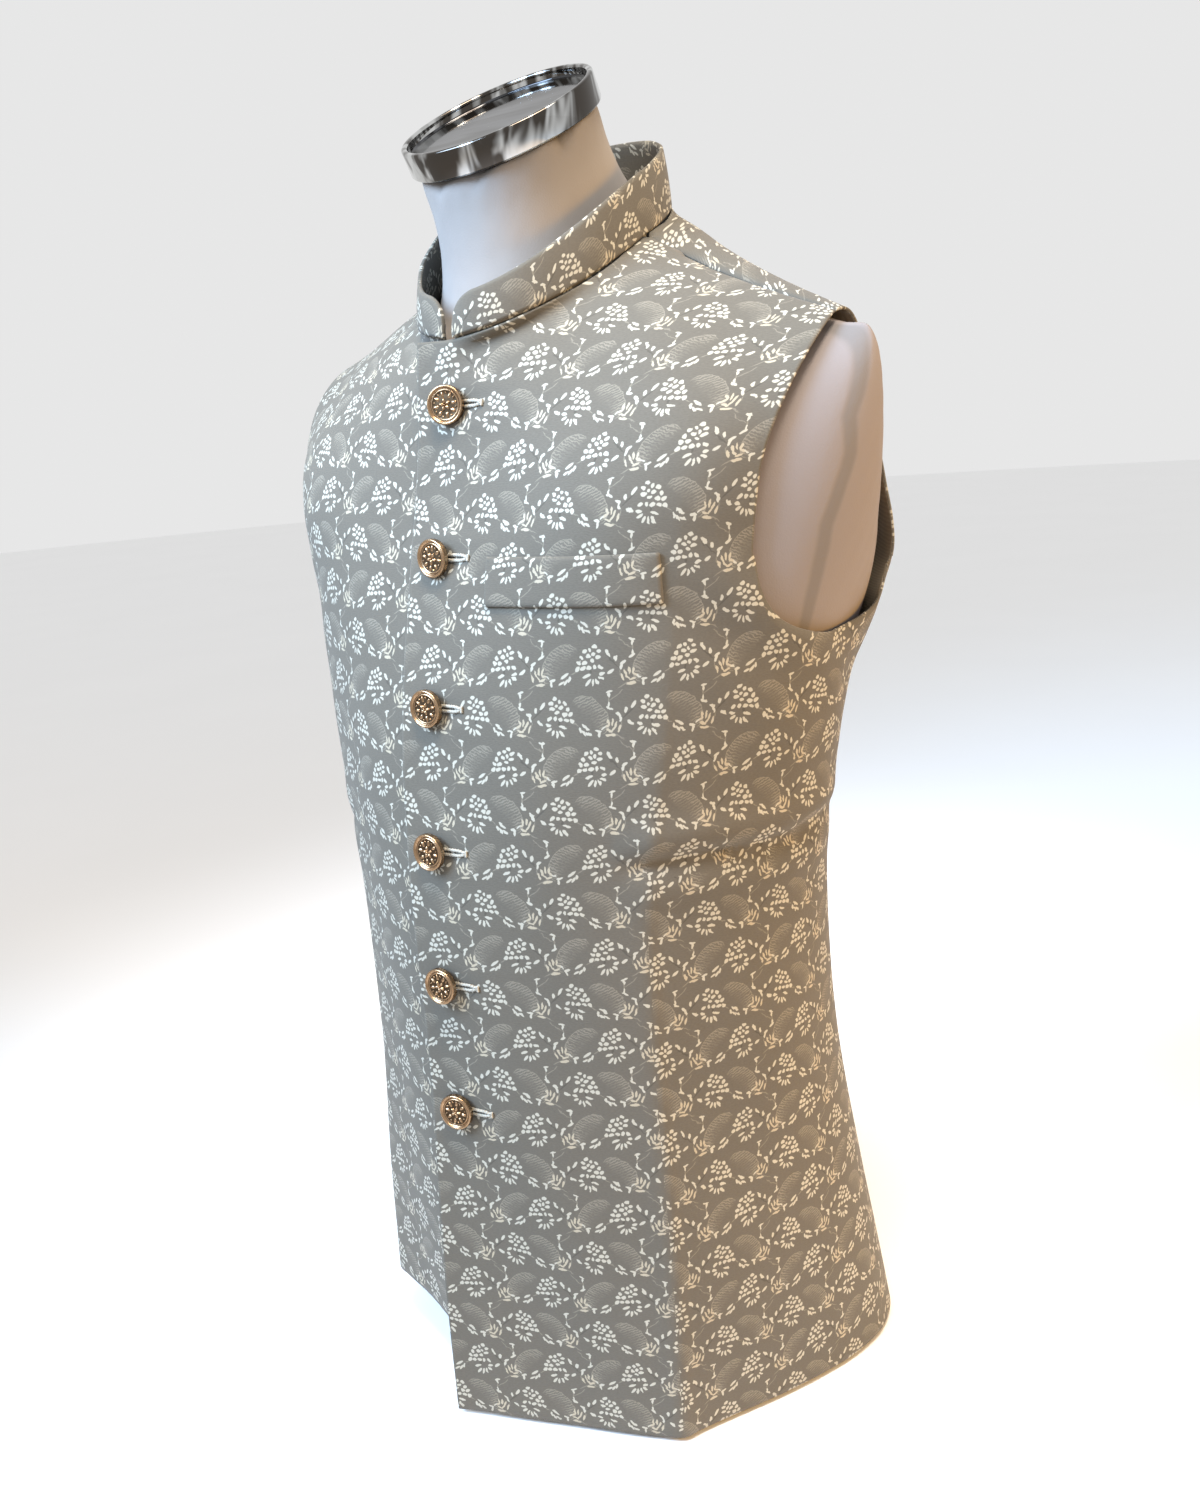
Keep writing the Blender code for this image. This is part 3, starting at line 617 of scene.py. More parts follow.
def shell_object(name, points, normals, faces, lengths, shift, wall, round_edge):
    """A closed cloth shell with a rounded rim; its second material is for the inner face.

    shift moves the pattern on each face, and round_edge is how far the rim bulges.
    """
    count = len(points)
    inner = points - normals * wall
    edges = np.concatenate([faces[:, [k, (k + 1) % 4]] for k in range(4)])
    key = edges[:, 0].astype(np.int64) * count + edges[:, 1]
    back = edges[:, 1].astype(np.int64) * count + edges[:, 0]
    rim = edges[~np.isin(key, back)]
    out = np.zeros_like(points)
    for a, b in rim:
        along = points[b] - points[a]
        side = np.cross(along, normals[a])
        out[a] += side / max(np.linalg.norm(side), 1e-12)
        out[b] += side / max(np.linalg.norm(side), 1e-12)
    on_rim = np.unique(rim)
    length = np.linalg.norm(out[on_rim], axis=1, keepdims=True)
    middle = (points[on_rim] + inner[on_rim]) / 2 + out[on_rim] / np.maximum(length, 1e-12) * round_edge
    number = {v: 2 * count + i for i, v in enumerate(on_rim)}
    all_points = np.concatenate([points, inner, middle])
    all_faces = [tuple(f) for f in faces] + [tuple(f[::-1] + count) for f in faces]
    uvs = [lengths[f] + shift[i] for i, f in enumerate(faces)]
    uvs += [lengths[f[::-1]] + shift[i] for i, f in enumerate(faces)]
    for a, b in rim:
        all_faces.append((b, a, number[a], number[b]))
        all_faces.append((number[b], number[a], a + count, b + count))
        for _ in range(2):
            uvs.append(lengths[[b, a, a, b]])
    made = mesh_object(name, all_points, all_faces, np.concatenate(uvs))
    look = np.zeros(len(all_faces), np.int32)
    look[len(faces) : 2 * len(faces)] = 1
    made.data.polygons.foreach_set("material_index", look)
    return made


class FrontSurface:
    """Looks up the left front's finished outer face from straight ahead."""

    def __init__(self):
        cloth = bpy.data.objects.get("front_left_cloth")
        if cloth is None:
            raise RuntimeError("Build the panels before what is sewn to them.")
        self.data = cloth.data
        self.tree = BVHTree.FromObject(cloth, bpy.context.evaluated_depsgraph_get())
        self.lengths = cloth.data.uv_layers["cloth"].data

    def at(self, x, z):
        """The point, the direction out and the cloth lengths at x and z, z from the floor."""
        spot, _, index, _ = self.tree.ray_cast(Vector((x, -1.0, z)), Vector((0, 1, 0)))
        if spot is None:
            raise RuntimeError("Nothing of the left front lies there.")
        face = self.data.polygons[index]
        corners = [self.data.vertices[v] for v in face.vertices]
        weights = poly_3d_calc([corner.co for corner in corners], spot)
        out, length = Vector((0, 0, 0)), Vector((0, 0))
        for weight, corner, loop in zip(weights, corners, face.loop_indices):
            out += corner.normal * weight
            length += self.lengths[loop].uv * weight
        return spot, out.normalized(), length


# -------------------------------------------------------------- materials


def add_node(tree, kind, settings, *values, **named):
    """Adds a node, sets its properties, and sets or links its inputs in order or by name."""
    made = tree.nodes.new("ShaderNode" + kind)
    for name, value in settings.items():
        setattr(made, name, value)
    sockets = [socket for socket in made.inputs if socket.enabled]
    wanted = list(zip(sockets, values))
    wanted += [(made.inputs[name.replace("_", " ")], value) for name, value in named.items()]
    for socket, value in wanted:
        if isinstance(value, bpy.types.NodeSocket):
            tree.links.new(value, socket)
        elif value is not None:
            socket.default_value = value
    return next(socket for socket in made.outputs if socket.enabled)


def new_material(name):
    """A material; returns it, its node tree and its Principled shader."""
    made = bpy.data.materials.new(name)
    made.use_nodes = True
    tree = made.node_tree
    return made, tree, tree.nodes["Principled BSDF"]


def ovals(tree, squares, place, table):
    """The square of how far a place is from the nearest oval: 1 on its edge, less inside.

    squares holds x*x, y*y and x*y, and place holds x, y and 1, so that each
    oval's equation takes two dot products.
    """
    nearest = None
    for x, y, long, wide, angle in table:
        c, s = cos(radians(angle)), sin(radians(angle))
        a = c * c / long**2 + s * s / wide**2
        b = s * s / long**2 + c * c / wide**2
        m = 2 * s * c * (1 / long**2 - 1 / wide**2)
        slope = (-2 * a * x - m * y, -2 * b * y - m * x, a * x * x + b * y * y + m * x * y)
        bend = add_node(tree, "VectorMath", {"operation": "DOT_PRODUCT"}, squares, (a, b, m))
        tilt = add_node(tree, "VectorMath", {"operation": "DOT_PRODUCT"}, place, slope)
        away = add_node(tree, "Math", {"operation": "ADD"}, bend, tilt)
        nearest = away if nearest is None else add_node(tree, "Math", {"operation": "MINIMUM"}, nearest, away)
    return nearest


def jacquard_material(settings):
    """Jacquard suiting: a dull twill ground with flowers floated in a paler, shinier yarn.

    The flowers read as small bright specks, and the shells as half-tone
    hatching a little lighter than the ground.
    """
    made, tree, shader = new_material("floral_jacquard_suiting")
    uv = add_node(tree, "UVMap", {"uv_map": "cloth"})
    millimetres = add_node(tree, "VectorMath", {"operation": "SCALE"}, uv, 1000.0)
    # The yarns shift a little, so no two flowers are quite alike.
    drift = add_node(tree, "TexNoise", {}, uv, Scale=330.0, Detail=2.0)
    sway = add_node(tree, "MapRange", {}, drift, To_Min=-1.1, To_Max=1.1)
    moved = add_node(tree, "VectorMath", {"operation": "ADD"}, millimetres, sway)
    parts = add_node(tree, "SeparateXYZ", {}, moved).node
    lifted = add_node(tree, "Math", {"operation": "ADD"}, parts.outputs["Y"], 40 * ROW_HEIGHT)
    rows = add_node(tree, "Math", {"operation": "DIVIDE"}, lifted, ROW_HEIGHT)
    row = add_node(tree, "Math", {"operation": "FLOOR"}, rows)
    odd = add_node(tree, "Math", {"operation": "MODULO"}, row, 2.0)
    y = add_node(tree, "Math", {"operation": "MULTIPLY_ADD"}, row, -ROW_HEIGHT, lifted)
    slid = add_node(tree, "Math", {"operation": "MULTIPLY_ADD"}, odd, ROW_SLIDE, parts.outputs["X"])
    across = add_node(tree, "Math", {"operation": "WRAP"}, slid, REPEAT_WIDTH, 0.0)
    flipped = add_node(tree, "Math", {"operation": "SUBTRACT"}, REPEAT_WIDTH, across)
    x = add_node(tree, "Mix", {"data_type": "FLOAT"}, odd, across, flipped)
    place = add_node(tree, "CombineXYZ", {}, x, y, 1.0)
    xx = add_node(tree, "Math", {"operation": "MULTIPLY"}, x, x)
    yy = add_node(tree, "Math", {"operation": "MULTIPLY"}, y, y)
    xy = add_node(tree, "Math", {"operation": "MULTIPLY"}, x, y)
    squares = add_node(tree, "CombineXYZ", {}, xx, yy, xy)

    masks = []
    for table, size, soft in (
        (CLUSTER + BLOSSOM + LEAVES + BELLS, 0.93, 0.35), (LOTUS, 0.95, 0.4),
        (VINES, 1.0, 1.2), (SHADED_STEMS, 1.0, 0.8),
    ):
        away = ovals(tree, squares, place, table)
        masks.append(add_node(tree, "MapRange", {"interpolation_type": "SMOOTHSTEP"},
                              away, size + soft, size - 0.7 * soft, 0.0, 1.0))
    flowers, lotus, vines, stems = masks

    # The shell: hatching inside its upper edge, fading inwards, and a thin outline.
    hx, hy, long, wide, angle = SHELL
    rim = ovals(tree, squares, place, (SHELL, (hx - REPEAT_WIDTH, hy, long, wide, angle)))
    within = add_node(tree, "Math", {"operation": "LESS_THAN"}, rim, 1.0)
    fade = add_node(tree, "MapRange", {"interpolation_type": "SMOOTHSTEP"}, rim, 0.02, 0.45, 0.30, 1.0)
    near = add_node(tree, "Math", {"operation": "GREATER_THAN"}, x, REPEAT_WIDTH / 2)
    home = add_node(tree, "Math", {"operation": "MULTIPLY"}, near, -REPEAT_WIDTH)
    local = add_node(tree, "Math", {"operation": "ADD"}, x, home)
    facing = (cos(radians(angle - 90)), sin(radians(angle - 90)))
    rise = add_node(tree, "Math", {"operation": "MULTIPLY"}, local, facing[0])
    rise = add_node(tree, "Math", {"operation": "MULTIPLY_ADD"}, y, facing[1], rise)
    top = (hx - REPEAT_WIDTH) * facing[0] + hy * facing[1]
    upper = add_node(tree, "MapRange", {"interpolation_type": "SMOOTHSTEP"},
                     rise, top - 3.5, top + 1.5, 0.0, 1.0)
    run = add_node(tree, "Math", {"operation": "MULTIPLY"}, local, -facing[1])
    run = add_node(tree, "Math", {"operation": "MULTIPLY_ADD"}, y, facing[0], run)
    ripple = add_node(tree, "TexNoise", {}, place, Scale=0.5, Detail=1.0)
    bent = add_node(tree, "Math", {"operation": "MULTIPLY_ADD"}, rise, 0.35, run)
    bent = add_node(tree, "Math", {"operation": "MULTIPLY_ADD"}, ripple, 2.4, bent)
    # The hatching's ribs are 1.9 mm apart.
    phase = add_node(tree, "Math", {"operation": "MULTIPLY"}, bent, 2 * pi / 1.9)
    ribs = add_node(tree, "Math", {"operation": "SINE"}, phase)
    ribs = add_node(tree, "MapRange", {"interpolation_type": "SMOOTHSTEP"}, ribs, -0.3, 0.6, 0.10, 1.0)
    shell = add_node(tree, "Math", {"operation": "MULTIPLY"}, within, upper)
    hatch = add_node(tree, "Math", {"operation": "MULTIPLY"}, shell, fade)
    hatch = add_node(tree, "Math", {"operation": "MULTIPLY"}, hatch, ribs)
    rim_line = add_node(tree, "MapRange", {"interpolation_type": "SMOOTHSTEP"}, rim, 0.88, 0.95, 0.0, 1.0)
    outline = add_node(tree, "Math", {"operation": "MULTIPLY"}, shell, rim_line)
    lines = add_node(tree, "Math", {"operation": "MAXIMUM"}, outline, vines)

    # The real yarns lie 0.35 mm apart; these are 0.8 mm, so that they show.
    stretched = add_node(tree, "VectorMath", {"operation": "MULTIPLY"}, millimetres, (0.5, 1.25, 1.0))
    yarn = add_node(tree, "TexNoise", {}, stretched, Scale=1.0, Detail=2.0)
    dark, light = [c * 0.80 for c in settings.ground], [c * 1.20 for c in settings.ground]
    colour = add_node(tree, "Mix", {"data_type": "RGBA"}, yarn, (*dark, 1), (*light, 1))
    shaded = add_node(tree, "Math", {"operation": "MULTIPLY"}, stems, 0.55)
    shadow = [c * 0.45 for c in settings.ground]
    colour = add_node(tree, "Mix", {"data_type": "RGBA"}, shaded, colour, (*shadow, 1))
    half = add_node(tree, "Math", {"operation": "MULTIPLY"}, hatch, 0.80)
    colour = add_node(tree, "Mix", {"data_type": "RGBA"}, half, colour, (*settings.shell, 1))
    thin = add_node(tree, "Math", {"operation": "MULTIPLY"}, lines, 0.70)
    colour = add_node(tree, "Mix", {"data_type": "RGBA"}, thin, colour, (*settings.shell, 1))
    tan = [c * k for c, k in zip(settings.flower, (0.86, 0.80, 0.72))]
    colour = add_node(tree, "Mix", {"data_type": "RGBA"}, lotus, colour, (*tan, 1))
    dull = [c * 0.88 for c in settings.flower]
    bright = add_node(tree, "Mix", {"data_type": "RGBA"}, yarn, (*dull, 1), (*settings.flower, 1))
    colour = add_node(tree, "Mix", {"data_type": "RGBA"}, flowers, colour, bright)
    slow = add_node(tree, "TexNoise", {}, uv, Scale=9.0, Detail=2.0)
    shade = add_node(tree, "MapRange", {}, slow, To_Min=0.92, To_Max=1.08)
    colour = add_node(tree, "VectorMath", {"operation": "SCALE"}, colour, shade)
    tree.links.new(colour, shader.inputs["Base Color"])

    raised = add_node(tree, "Math", {"operation": "MAXIMUM"}, flowers, lotus)
    rough = add_node(tree, "MapRange", {}, raised, To_Min=0.78, To_Max=0.52)
    tree.links.new(rough, shader.inputs["Roughness"])
    shader.inputs["Specular IOR Level"].default_value = 0.30
    shader.inputs["Sheen Weight"].default_value = 0.08
    shader.inputs["Sheen Roughness"].default_value = 0.5
    bump = add_node(tree, "Bump", {}, Strength=0.4, Distance=0.0004, Height=yarn)
    tree.links.new(bump, shader.inputs["Normal"])
    return made


def lining_material():
    """Twill-weave viscose lining: plain taupe with a low satin shine."""
    made, tree, shader = new_material("viscose_twill_lining")
    place = add_node(tree, "TexCoord", {}).node.outputs["Object"]
    # The twill's ribs are 0.7 mm apart; these are 1.4 mm, so that they show.
    ribs = add_node(tree, "TexWave", {"bands_direction": "DIAGONAL"}, place, Scale=260.0, Distortion=1.5)
    tint = add_node(tree, "Mix", {"data_type": "RGBA"}, ribs,
                    (*linear("#857a6c"), 1), (*linear("#958a7b"), 1))
    tree.links.new(tint, shader.inputs["Base Color"])
    shader.inputs["Roughness"].default_value = 0.5
    shader.inputs["Specular IOR Level"].default_value = 0.4
    bump = add_node(tree, "Bump", {}, Strength=0.15, Distance=0.0003, Height=ribs)
    tree.links.new(bump, shader.inputs["Normal"])
    return made


def cover_material(settings):
    """Brushed cotton jersey stretched over the form: matt, off-white, a little soiled by handling."""
    made, tree, shader = new_material("brushed_cotton_cover")
    place = add_node(tree, "TexCoord", {}).node.outputs["Object"]
    slow = add_node(tree, "TexNoise", {}, place, Scale=7.0, Detail=4.0, Roughness=0.6)
    # The knit's loops are 0.5 mm across; these are twice that, so that they show.
    knit = add_node(tree, "TexNoise", {}, place, Scale=900.0, Detail=2.0)
    patches = add_node(tree, "MapRange", {}, slow, 0.46, 0.74, 0.0, 1.0)
    soil = [c * k for c, k in zip(settings.cover, (0.84, 0.80, 0.78))]
    colour = add_node(tree, "Mix", {"data_type": "RGBA"}, patches, (*settings.cover, 1), (*soil, 1))
    # The smudged seam down the middle of each shoulder end. It bends forward
    # twice on its way down from the armhole's top.
    parts = add_node(tree, "SeparateXYZ", {}, place).node
    low = add_node(tree, "MapRange", {}, parts.outputs["Z"], 0.605, 0.645, 0.001, 0.0105)
    high = add_node(tree, "MapRange", {}, parts.outputs["Z"], 0.665, 0.714, 0.0, 0.020)
    seam = add_node(tree, "Math", {"operation": "ADD"}, low, high)
    line = add_node(tree, "Math", {"operation": "SUBTRACT"}, parts.outputs["Y"], seam)
    wobble = add_node(tree, "MapRange", {}, slow, To_Min=-0.004, To_Max=0.004)
    line = add_node(tree, "Math", {"operation": "ADD"}, line, wobble)
    away = add_node(tree, "Math", {"operation": "ABSOLUTE"}, line)
    band = add_node(tree, "MapRange", {"interpolation_type": "SMOOTHSTEP"}, away, 0.0058, 0.0022, 0.0, 1.0)
    width = add_node(tree, "Math", {"operation": "ABSOLUTE"}, parts.outputs["X"])
    beside = add_node(tree, "Math", {"operation": "GREATER_THAN"}, width, 0.165)
    smudge = add_node(tree, "Math", {"operation": "MULTIPLY"}, band, beside)
    # The shoulder ends are a little darker, as painted shade against the lamp's light there, and a little
    # pinker.
    shaded_shoulder_ends = [c * k for c, k in zip(settings.cover, (0.78, 0.74, 0.76))]
    colour = add_node(tree, "Mix", {"data_type": "RGBA"}, beside, colour, (*shaded_shoulder_ends, 1))
    grey = add_node(tree, "Math", {"operation": "MULTIPLY"}, smudge, 0.65)
    shadow = [c * 0.5 for c in settings.cover]
    colour = add_node(tree, "Mix", {"data_type": "RGBA"}, grey, colour, (*shadow, 1))
    tree.links.new(colour, shader.inputs["Base Color"])
    shader.inputs["Roughness"].default_value = 0.85
    shader.inputs["Specular IOR Level"].default_value = 0.3
    shader.inputs["Sheen Weight"].default_value = 0.05
    shader.inputs["Sheen Roughness"].default_value = 0.5
    height = add_node(tree, "Math", {"operation": "MULTIPLY_ADD"}, slow, 2.0, knit)
    height = add_node(tree, "Math", {"operation": "MULTIPLY_ADD"}, smudge, -1.5, height)
    bump = add_node(tree, "Bump", {}, Strength=0.25, Distance=0.0006, Height=height)
    tree.links.new(bump, shader.inputs["Normal"])
    return made


def gold_material(settings, name, darker, rough):
    """Antique gold plate on die-struck brass: warm and bright on edges, dull brown where it is sunk."""
    made, tree, shader = new_material(name)
    place = add_node(tree, "TexCoord", {}).node.outputs["Object"]
    # Plating grain is under 0.1 mm; these specks are 2 mm, as tarnish patches are.
    speck = add_node(tree, "TexNoise", {}, place, Scale=420.0, Detail=3.0)
    light = [c * darker for c in settings.gold]
    dark = [c * k for c, k in zip(light, (0.62, 0.52, 0.42))]
    tint = add_node(tree, "Mix", {"data_type": "RGBA"}, speck, (*light, 1), (*dark, 1))
    tree.links.new(tint, shader.inputs["Base Color"])
    shader.inputs["Metallic"].default_value = 1.0
    gloss = add_node(tree, "MapRange", {}, speck, To_Min=rough * 0.75, To_Max=rough * 1.3)
    tree.links.new(gloss, shader.inputs["Roughness"])
    bump = add_node(tree, "Bump", {}, Strength=0.3, Distance=0.0002, Height=speck)
    tree.links.new(bump, shader.inputs["Normal"])
    return made


def chrome_material(name, light, dark, stretch):
    """Polished chromium plate: a mirror with painted reflections as dark and light bands in its colour, and
    faint wiping marks.

    stretch holds how many bands of painted reflection there are to a metre along x, y and z.
    """
    made, tree, shader = new_material(name)
    place = add_node(tree, "TexCoord", {}).node.outputs["Object"]
    stretched = add_node(tree, "VectorMath", {"operation": "MULTIPLY"}, place, stretch)
    # Painted reflections: noise bands between the dark and light colours stand for what a room would throw
    # onto the plate.
    bands = add_node(tree, "TexNoise", {}, stretched, Scale=1.0, Detail=2.0, Distortion=0.6)
    painted_reflection_mask = add_node(tree, "MapRange", {"interpolation_type": "SMOOTHSTEP"}, bands, 0.42, 0.60, 0.0, 1.0)
    tint = add_node(tree, "Mix", {"data_type": "RGBA"}, painted_reflection_mask, (*linear(dark), 1), (*linear(light), 1))
    tree.links.new(tint, shader.inputs["Base Color"])
    shader.inputs["Metallic"].default_value = 1.0
    wiped = add_node(tree, "TexNoise", {}, place, Scale=60.0, Detail=4.0)
    gloss = add_node(tree, "MapRange", {}, wiped, To_Min=0.02, To_Max=0.10)
    tree.links.new(gloss, shader.inputs["Roughness"])
    bump = add_node(tree, "Bump", {}, Strength=0.04, Distance=0.0005, Height=wiped)
    tree.links.new(bump, shader.inputs["Normal"])
    return made


def thread_material():
    """Twisted polyester buttonhole thread: pale grey-beige with a soft sheen."""
    made, tree, shader = new_material("buttonhole_thread")
    place = add_node(tree, "TexCoord", {}).node.outputs["Object"]
    # One turn of the thread is 0.7 mm long.
    twist = add_node(tree, "TexNoise", {}, place, Scale=1400.0, Detail=1.0)
    tint = add_node(tree, "Mix", {"data_type": "RGBA"}, twist,
                    (*linear("#7d7a71"), 1), (*linear("#b7b2a5"), 1))
    tree.links.new(tint, shader.inputs["Base Color"])
    shader.inputs["Roughness"].default_value = 0.6
    shader.inputs["Sheen Weight"].default_value = 0.2
    bump = add_node(tree, "Bump", {}, Strength=0.6, Distance=0.0003, Height=twist)
    tree.links.new(bump, shader.inputs["Normal"])
    return made


def shared_material(name, make):
    """The material of that name, made the first time it is asked for."""
    found = bpy.data.materials.get(name)
    return found or make()


def jacquard(context):
    """The jacket's cloth, shared by all its pieces."""
    settings = context.scene.jacket_settings
    return shared_material("floral_jacquard_suiting", lambda: jacquard_material(settings))


# -------------------------------------------------------------- operators


def placed_array(points):
    """Points above the hem, moved to where they stand over the floor."""
    return points + np.array([MIDDLE_SHIFT.x, MIDDLE_SHIFT.y, HEM_Z])


class JACKET_OT_panels(bpy.types.Operator):
    """Build the two fronts and the back as thin creased cloth shells"""

    bl_idname = "jacket.panels"
    bl_label = "Build Panels"

    def execute(self, context):
        settings = context.scene.jacket_settings
        steps = settings.fineness
        left_tall, left = front_blocks(1, steps)
        _, right = front_blocks(-1, steps, left_tall)
        columns = back_columns()
        across, up = cloth_coordinates(columns[::-1], 0)
        back_half = grid_array(columns, across[::-1], up[::-1])
        back_fine = refined(back_half, steps)
        back_left, back_right = back_fine.copy(), mirrored(back_fine)
        back_right[..., 3] *= -1
        right = [mirrored(g) for g in right]
        for g in right:
            g[..., 3] *= -1
        pieces = [("front_left", left, (False, False)), ("front_right", right, (True, True)),
                  ("back", (back_left, back_right), (False, True))]
        points, lengths, faces, owner = [], [], [], []
        offset = 0
        for number, (_, grids, flips) in enumerate(pieces):
            for grid, flip in zip(grids, flips):
                flat = grid.reshape(-1, 5)
                points.append(flat[:, :3])
                lengths.append(flat[:, 3:])
                found = faces_of(grid, offset, flip)
                faces.append(found)
                owner.append(np.full(len(found), number))
                offset += len(flat)
        points, lengths = np.concatenate(points), np.concatenate(lengths)
        faces, owner = np.concatenate(faces), np.concatenate(owner)
        # Points closer than this are one point of a seam.
        weld = 4e-5
        _, first, index = np.unique(np.round(points / weld).astype(np.int64), axis=0,
                                    return_index=True, return_inverse=True)
        index = index.reshape(-1)
        joined = index[faces]
        whole = points[first]
        normals = vertex_normals(whole, joined)
        on_top = np.zeros(len(whole))
        on_top[joined[owner == 0].ravel()] = 1
        whole = whole + normals * creases(whole, settings.crease_depth, on_top)[:, None]
        normals = vertex_normals(whole, joined)
        used = np.zeros((len(whole), len(pieces)), bool)
        for k in range(4):
            used[joined[:, k], owner] = True
        seam = used.sum(axis=1) > 1
        for number, (name, _, _) in enumerate(pieces):
            mine = joined[owner == number]
            middles = whole[mine].mean(axis=1)
            pull = np.zeros_like(whole)
            for k in range(4):
                np.add.at(pull, mine[:, k], middles - whole[mine[:, k]])
            pull -= normals * (pull * normals).sum(axis=1, keepdims=True)
            pull /= np.maximum(np.linalg.norm(pull, axis=1, keepdims=True), 1e-12)
            shape = whole.copy()
            shape[seam] += pull[seam] * SEAM_GAP - normals[seam] * SEAM_SINK
            numbers, local = np.unique(mine, return_inverse=True)
            local = local.reshape(-1, 4)
            own_faces = faces[owner == number]
            own_lengths = np.zeros((len(numbers), 2))
            own_lengths[local.ravel()] = lengths[own_faces.ravel()]
            shift = self.dart_shift(whole[mine].mean(axis=1), own_lengths[local].mean(axis=1), name)
            made = shell_object(name + "_cloth", placed_array(shape[numbers]), normals[numbers], local,
                                own_lengths, shift, settings.wall, PANEL_EDGE)
            made.data.materials.append(jacquard(context))
            made.data.materials.append(shared_material("viscose_twill_lining", lining_material))
            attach(made, "root")
            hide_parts(name)
        return {"FINISHED"}

    @staticmethod
    def dart_shift(middles, lengths, name):
        """The cut at the side of each front breaks the pattern below the waist."""
        shift = np.zeros((len(middles), 2))
        if name == "back":
            return shift
        heights = [row[0] / 1000 for row in SECTIONS]
        crease_x = np.interp(middles[:, 2], heights, [row[3] / 1000 for row in SECTIONS])
        beyond = (np.abs(middles[:, 0]) > crease_x) & (middles[:, 2] < DART_TOP_Z)
        side = 1 if name == "front_left" else -1
        shift[beyond, 0] = DART_CUT[0] * side
        shift[beyond, 1] = DART_CUT[1]
        return shift


class JACKET_OT_collar(bpy.types.Operator):
    """Build the stand collar"""

    bl_idname = "jacket.collar"
    bl_label = "Build Collar"

    def execute(self, context):
        steps, start = 220, 0.010
        turns = [start + (1 - 2 * start) * k / steps for k in range(steps + 1)]
        spots = [self.neck_line(turn) for turn in turns]
        runs = np.concatenate([[0], np.cumsum([(b - a).length for a, b in zip(spots, spots[1:])])])
        total = runs[-1]
        levels, half = 12, 0.0014
        points, lengths = [], []
        # Up the outer face, over the top and down the inner one. The outer face
        # starts over a narrow groove, where the collar is sewn to the panels.
        outline = [(-COLLAR_SEAT, -0.0010), (0.0016, -0.0010), (0.0018, 0.0008), (0.0024, half)]
        outline = [(rise, depth, 0) for rise, depth in outline]
        outline += [(0.0, half, k / levels) for k in range(1, levels)]
        outline += [(0.0, half * 0.85, 0.985), (0.0, 0.0, 1.0), (0.0, -half * 0.85, 0.985)]
        outline += [(0.0, -half, k / levels) for k in range(levels - 1, 0, -1)] + [(-COLLAR_SEAT, -half, 0)]
        for k, spot in enumerate(spots):
            along = spots[min(k + 1, steps)] - spots[max(k - 1, 0)]
            out = Vector((along.y, -along.x, 0)).normalized()
            end = min(runs[k], total - runs[k])
            height = COLLAR_FRONT_HEIGHT + (COLLAR_BACK_HEIGHT - COLLAR_FRONT_HEIGHT) * blend(end / 0.15)
            if end < COLLAR_CORNER:
                height -= COLLAR_CORNER - sqrt(COLLAR_CORNER**2 - (COLLAR_CORNER - end) ** 2)
            height = max(height, 0.010)
            up = (Vector((0, 0, 1)) - out * COLLAR_LEAN).normalized()
            wave = 0.0004 * sin(runs[k] * 60) + 0.0003 * sin(runs[k] * 133)
            ring = []
            for rise, depth, level in outline:
                bow = 0.0006 * sin(pi * level) + wave * level
                ring.append(spot + up * (rise + height * level) + out * (depth - 0.0012 + bow))
                lengths.append((runs[k] - total / 2 + 0.011, rise + height * level + 0.004))
            points.extend(ring)
        across = len(outline)
        faces, uvs = [], []
        lengths = np.array(lengths)
        for k in range(steps):
            for j in range(across - 1):
                a = k * across + j
                faces.append((a, a + 1, a + 1 + across, a + across))
            here, after = k * across, (k + 1) * across
            faces.append((here + across - 1, here, after, after + across - 1))
        for f in faces:
            uvs.append(lengths[list(f)])
        last = steps * across
        for a in range(across // 2 - 1):
            b = across - 1 - a
            faces.append((b, b - 1, a + 1, a))
            faces.append((last + a, last + a + 1, last + b - 1, last + b))
        for f in faces[len(uvs):]:
            uvs.append(lengths[list(f)])
        placed = placed_array(np.array([tuple(p) for p in points]))
        made = mesh_object("collar_band", placed, faces, np.concatenate(uvs))
        mesh = bmesh.new()
        mesh.from_mesh(made.data)
        bmesh.ops.recalc_face_normals(mesh, faces=mesh.faces)
        mesh.to_mesh(made.data)
        mesh.free()
        made.data.materials.append(jacquard(context))
        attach(made, "root")
        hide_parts("collar")
        return {"FINISHED"}

    @staticmethod
    def neck_line(turn):
        """The neckline all round, from the left end at the centre front to the right end."""
        side = 1 if turn <= 0.5 else -1
        t = 2 * turn if turn <= 0.5 else 2 - 2 * turn
        front_share = 0.62
        if t < front_share:
            spot, _ = crest(FRONT_NECK_Q * t / front_share)
        else:
            spot, _ = crest(BACK_NECK_Q + (4 - BACK_NECK_Q) * (t - front_share) / 0.38)
        return Vector((spot.x * side, spot.y, spot.z))


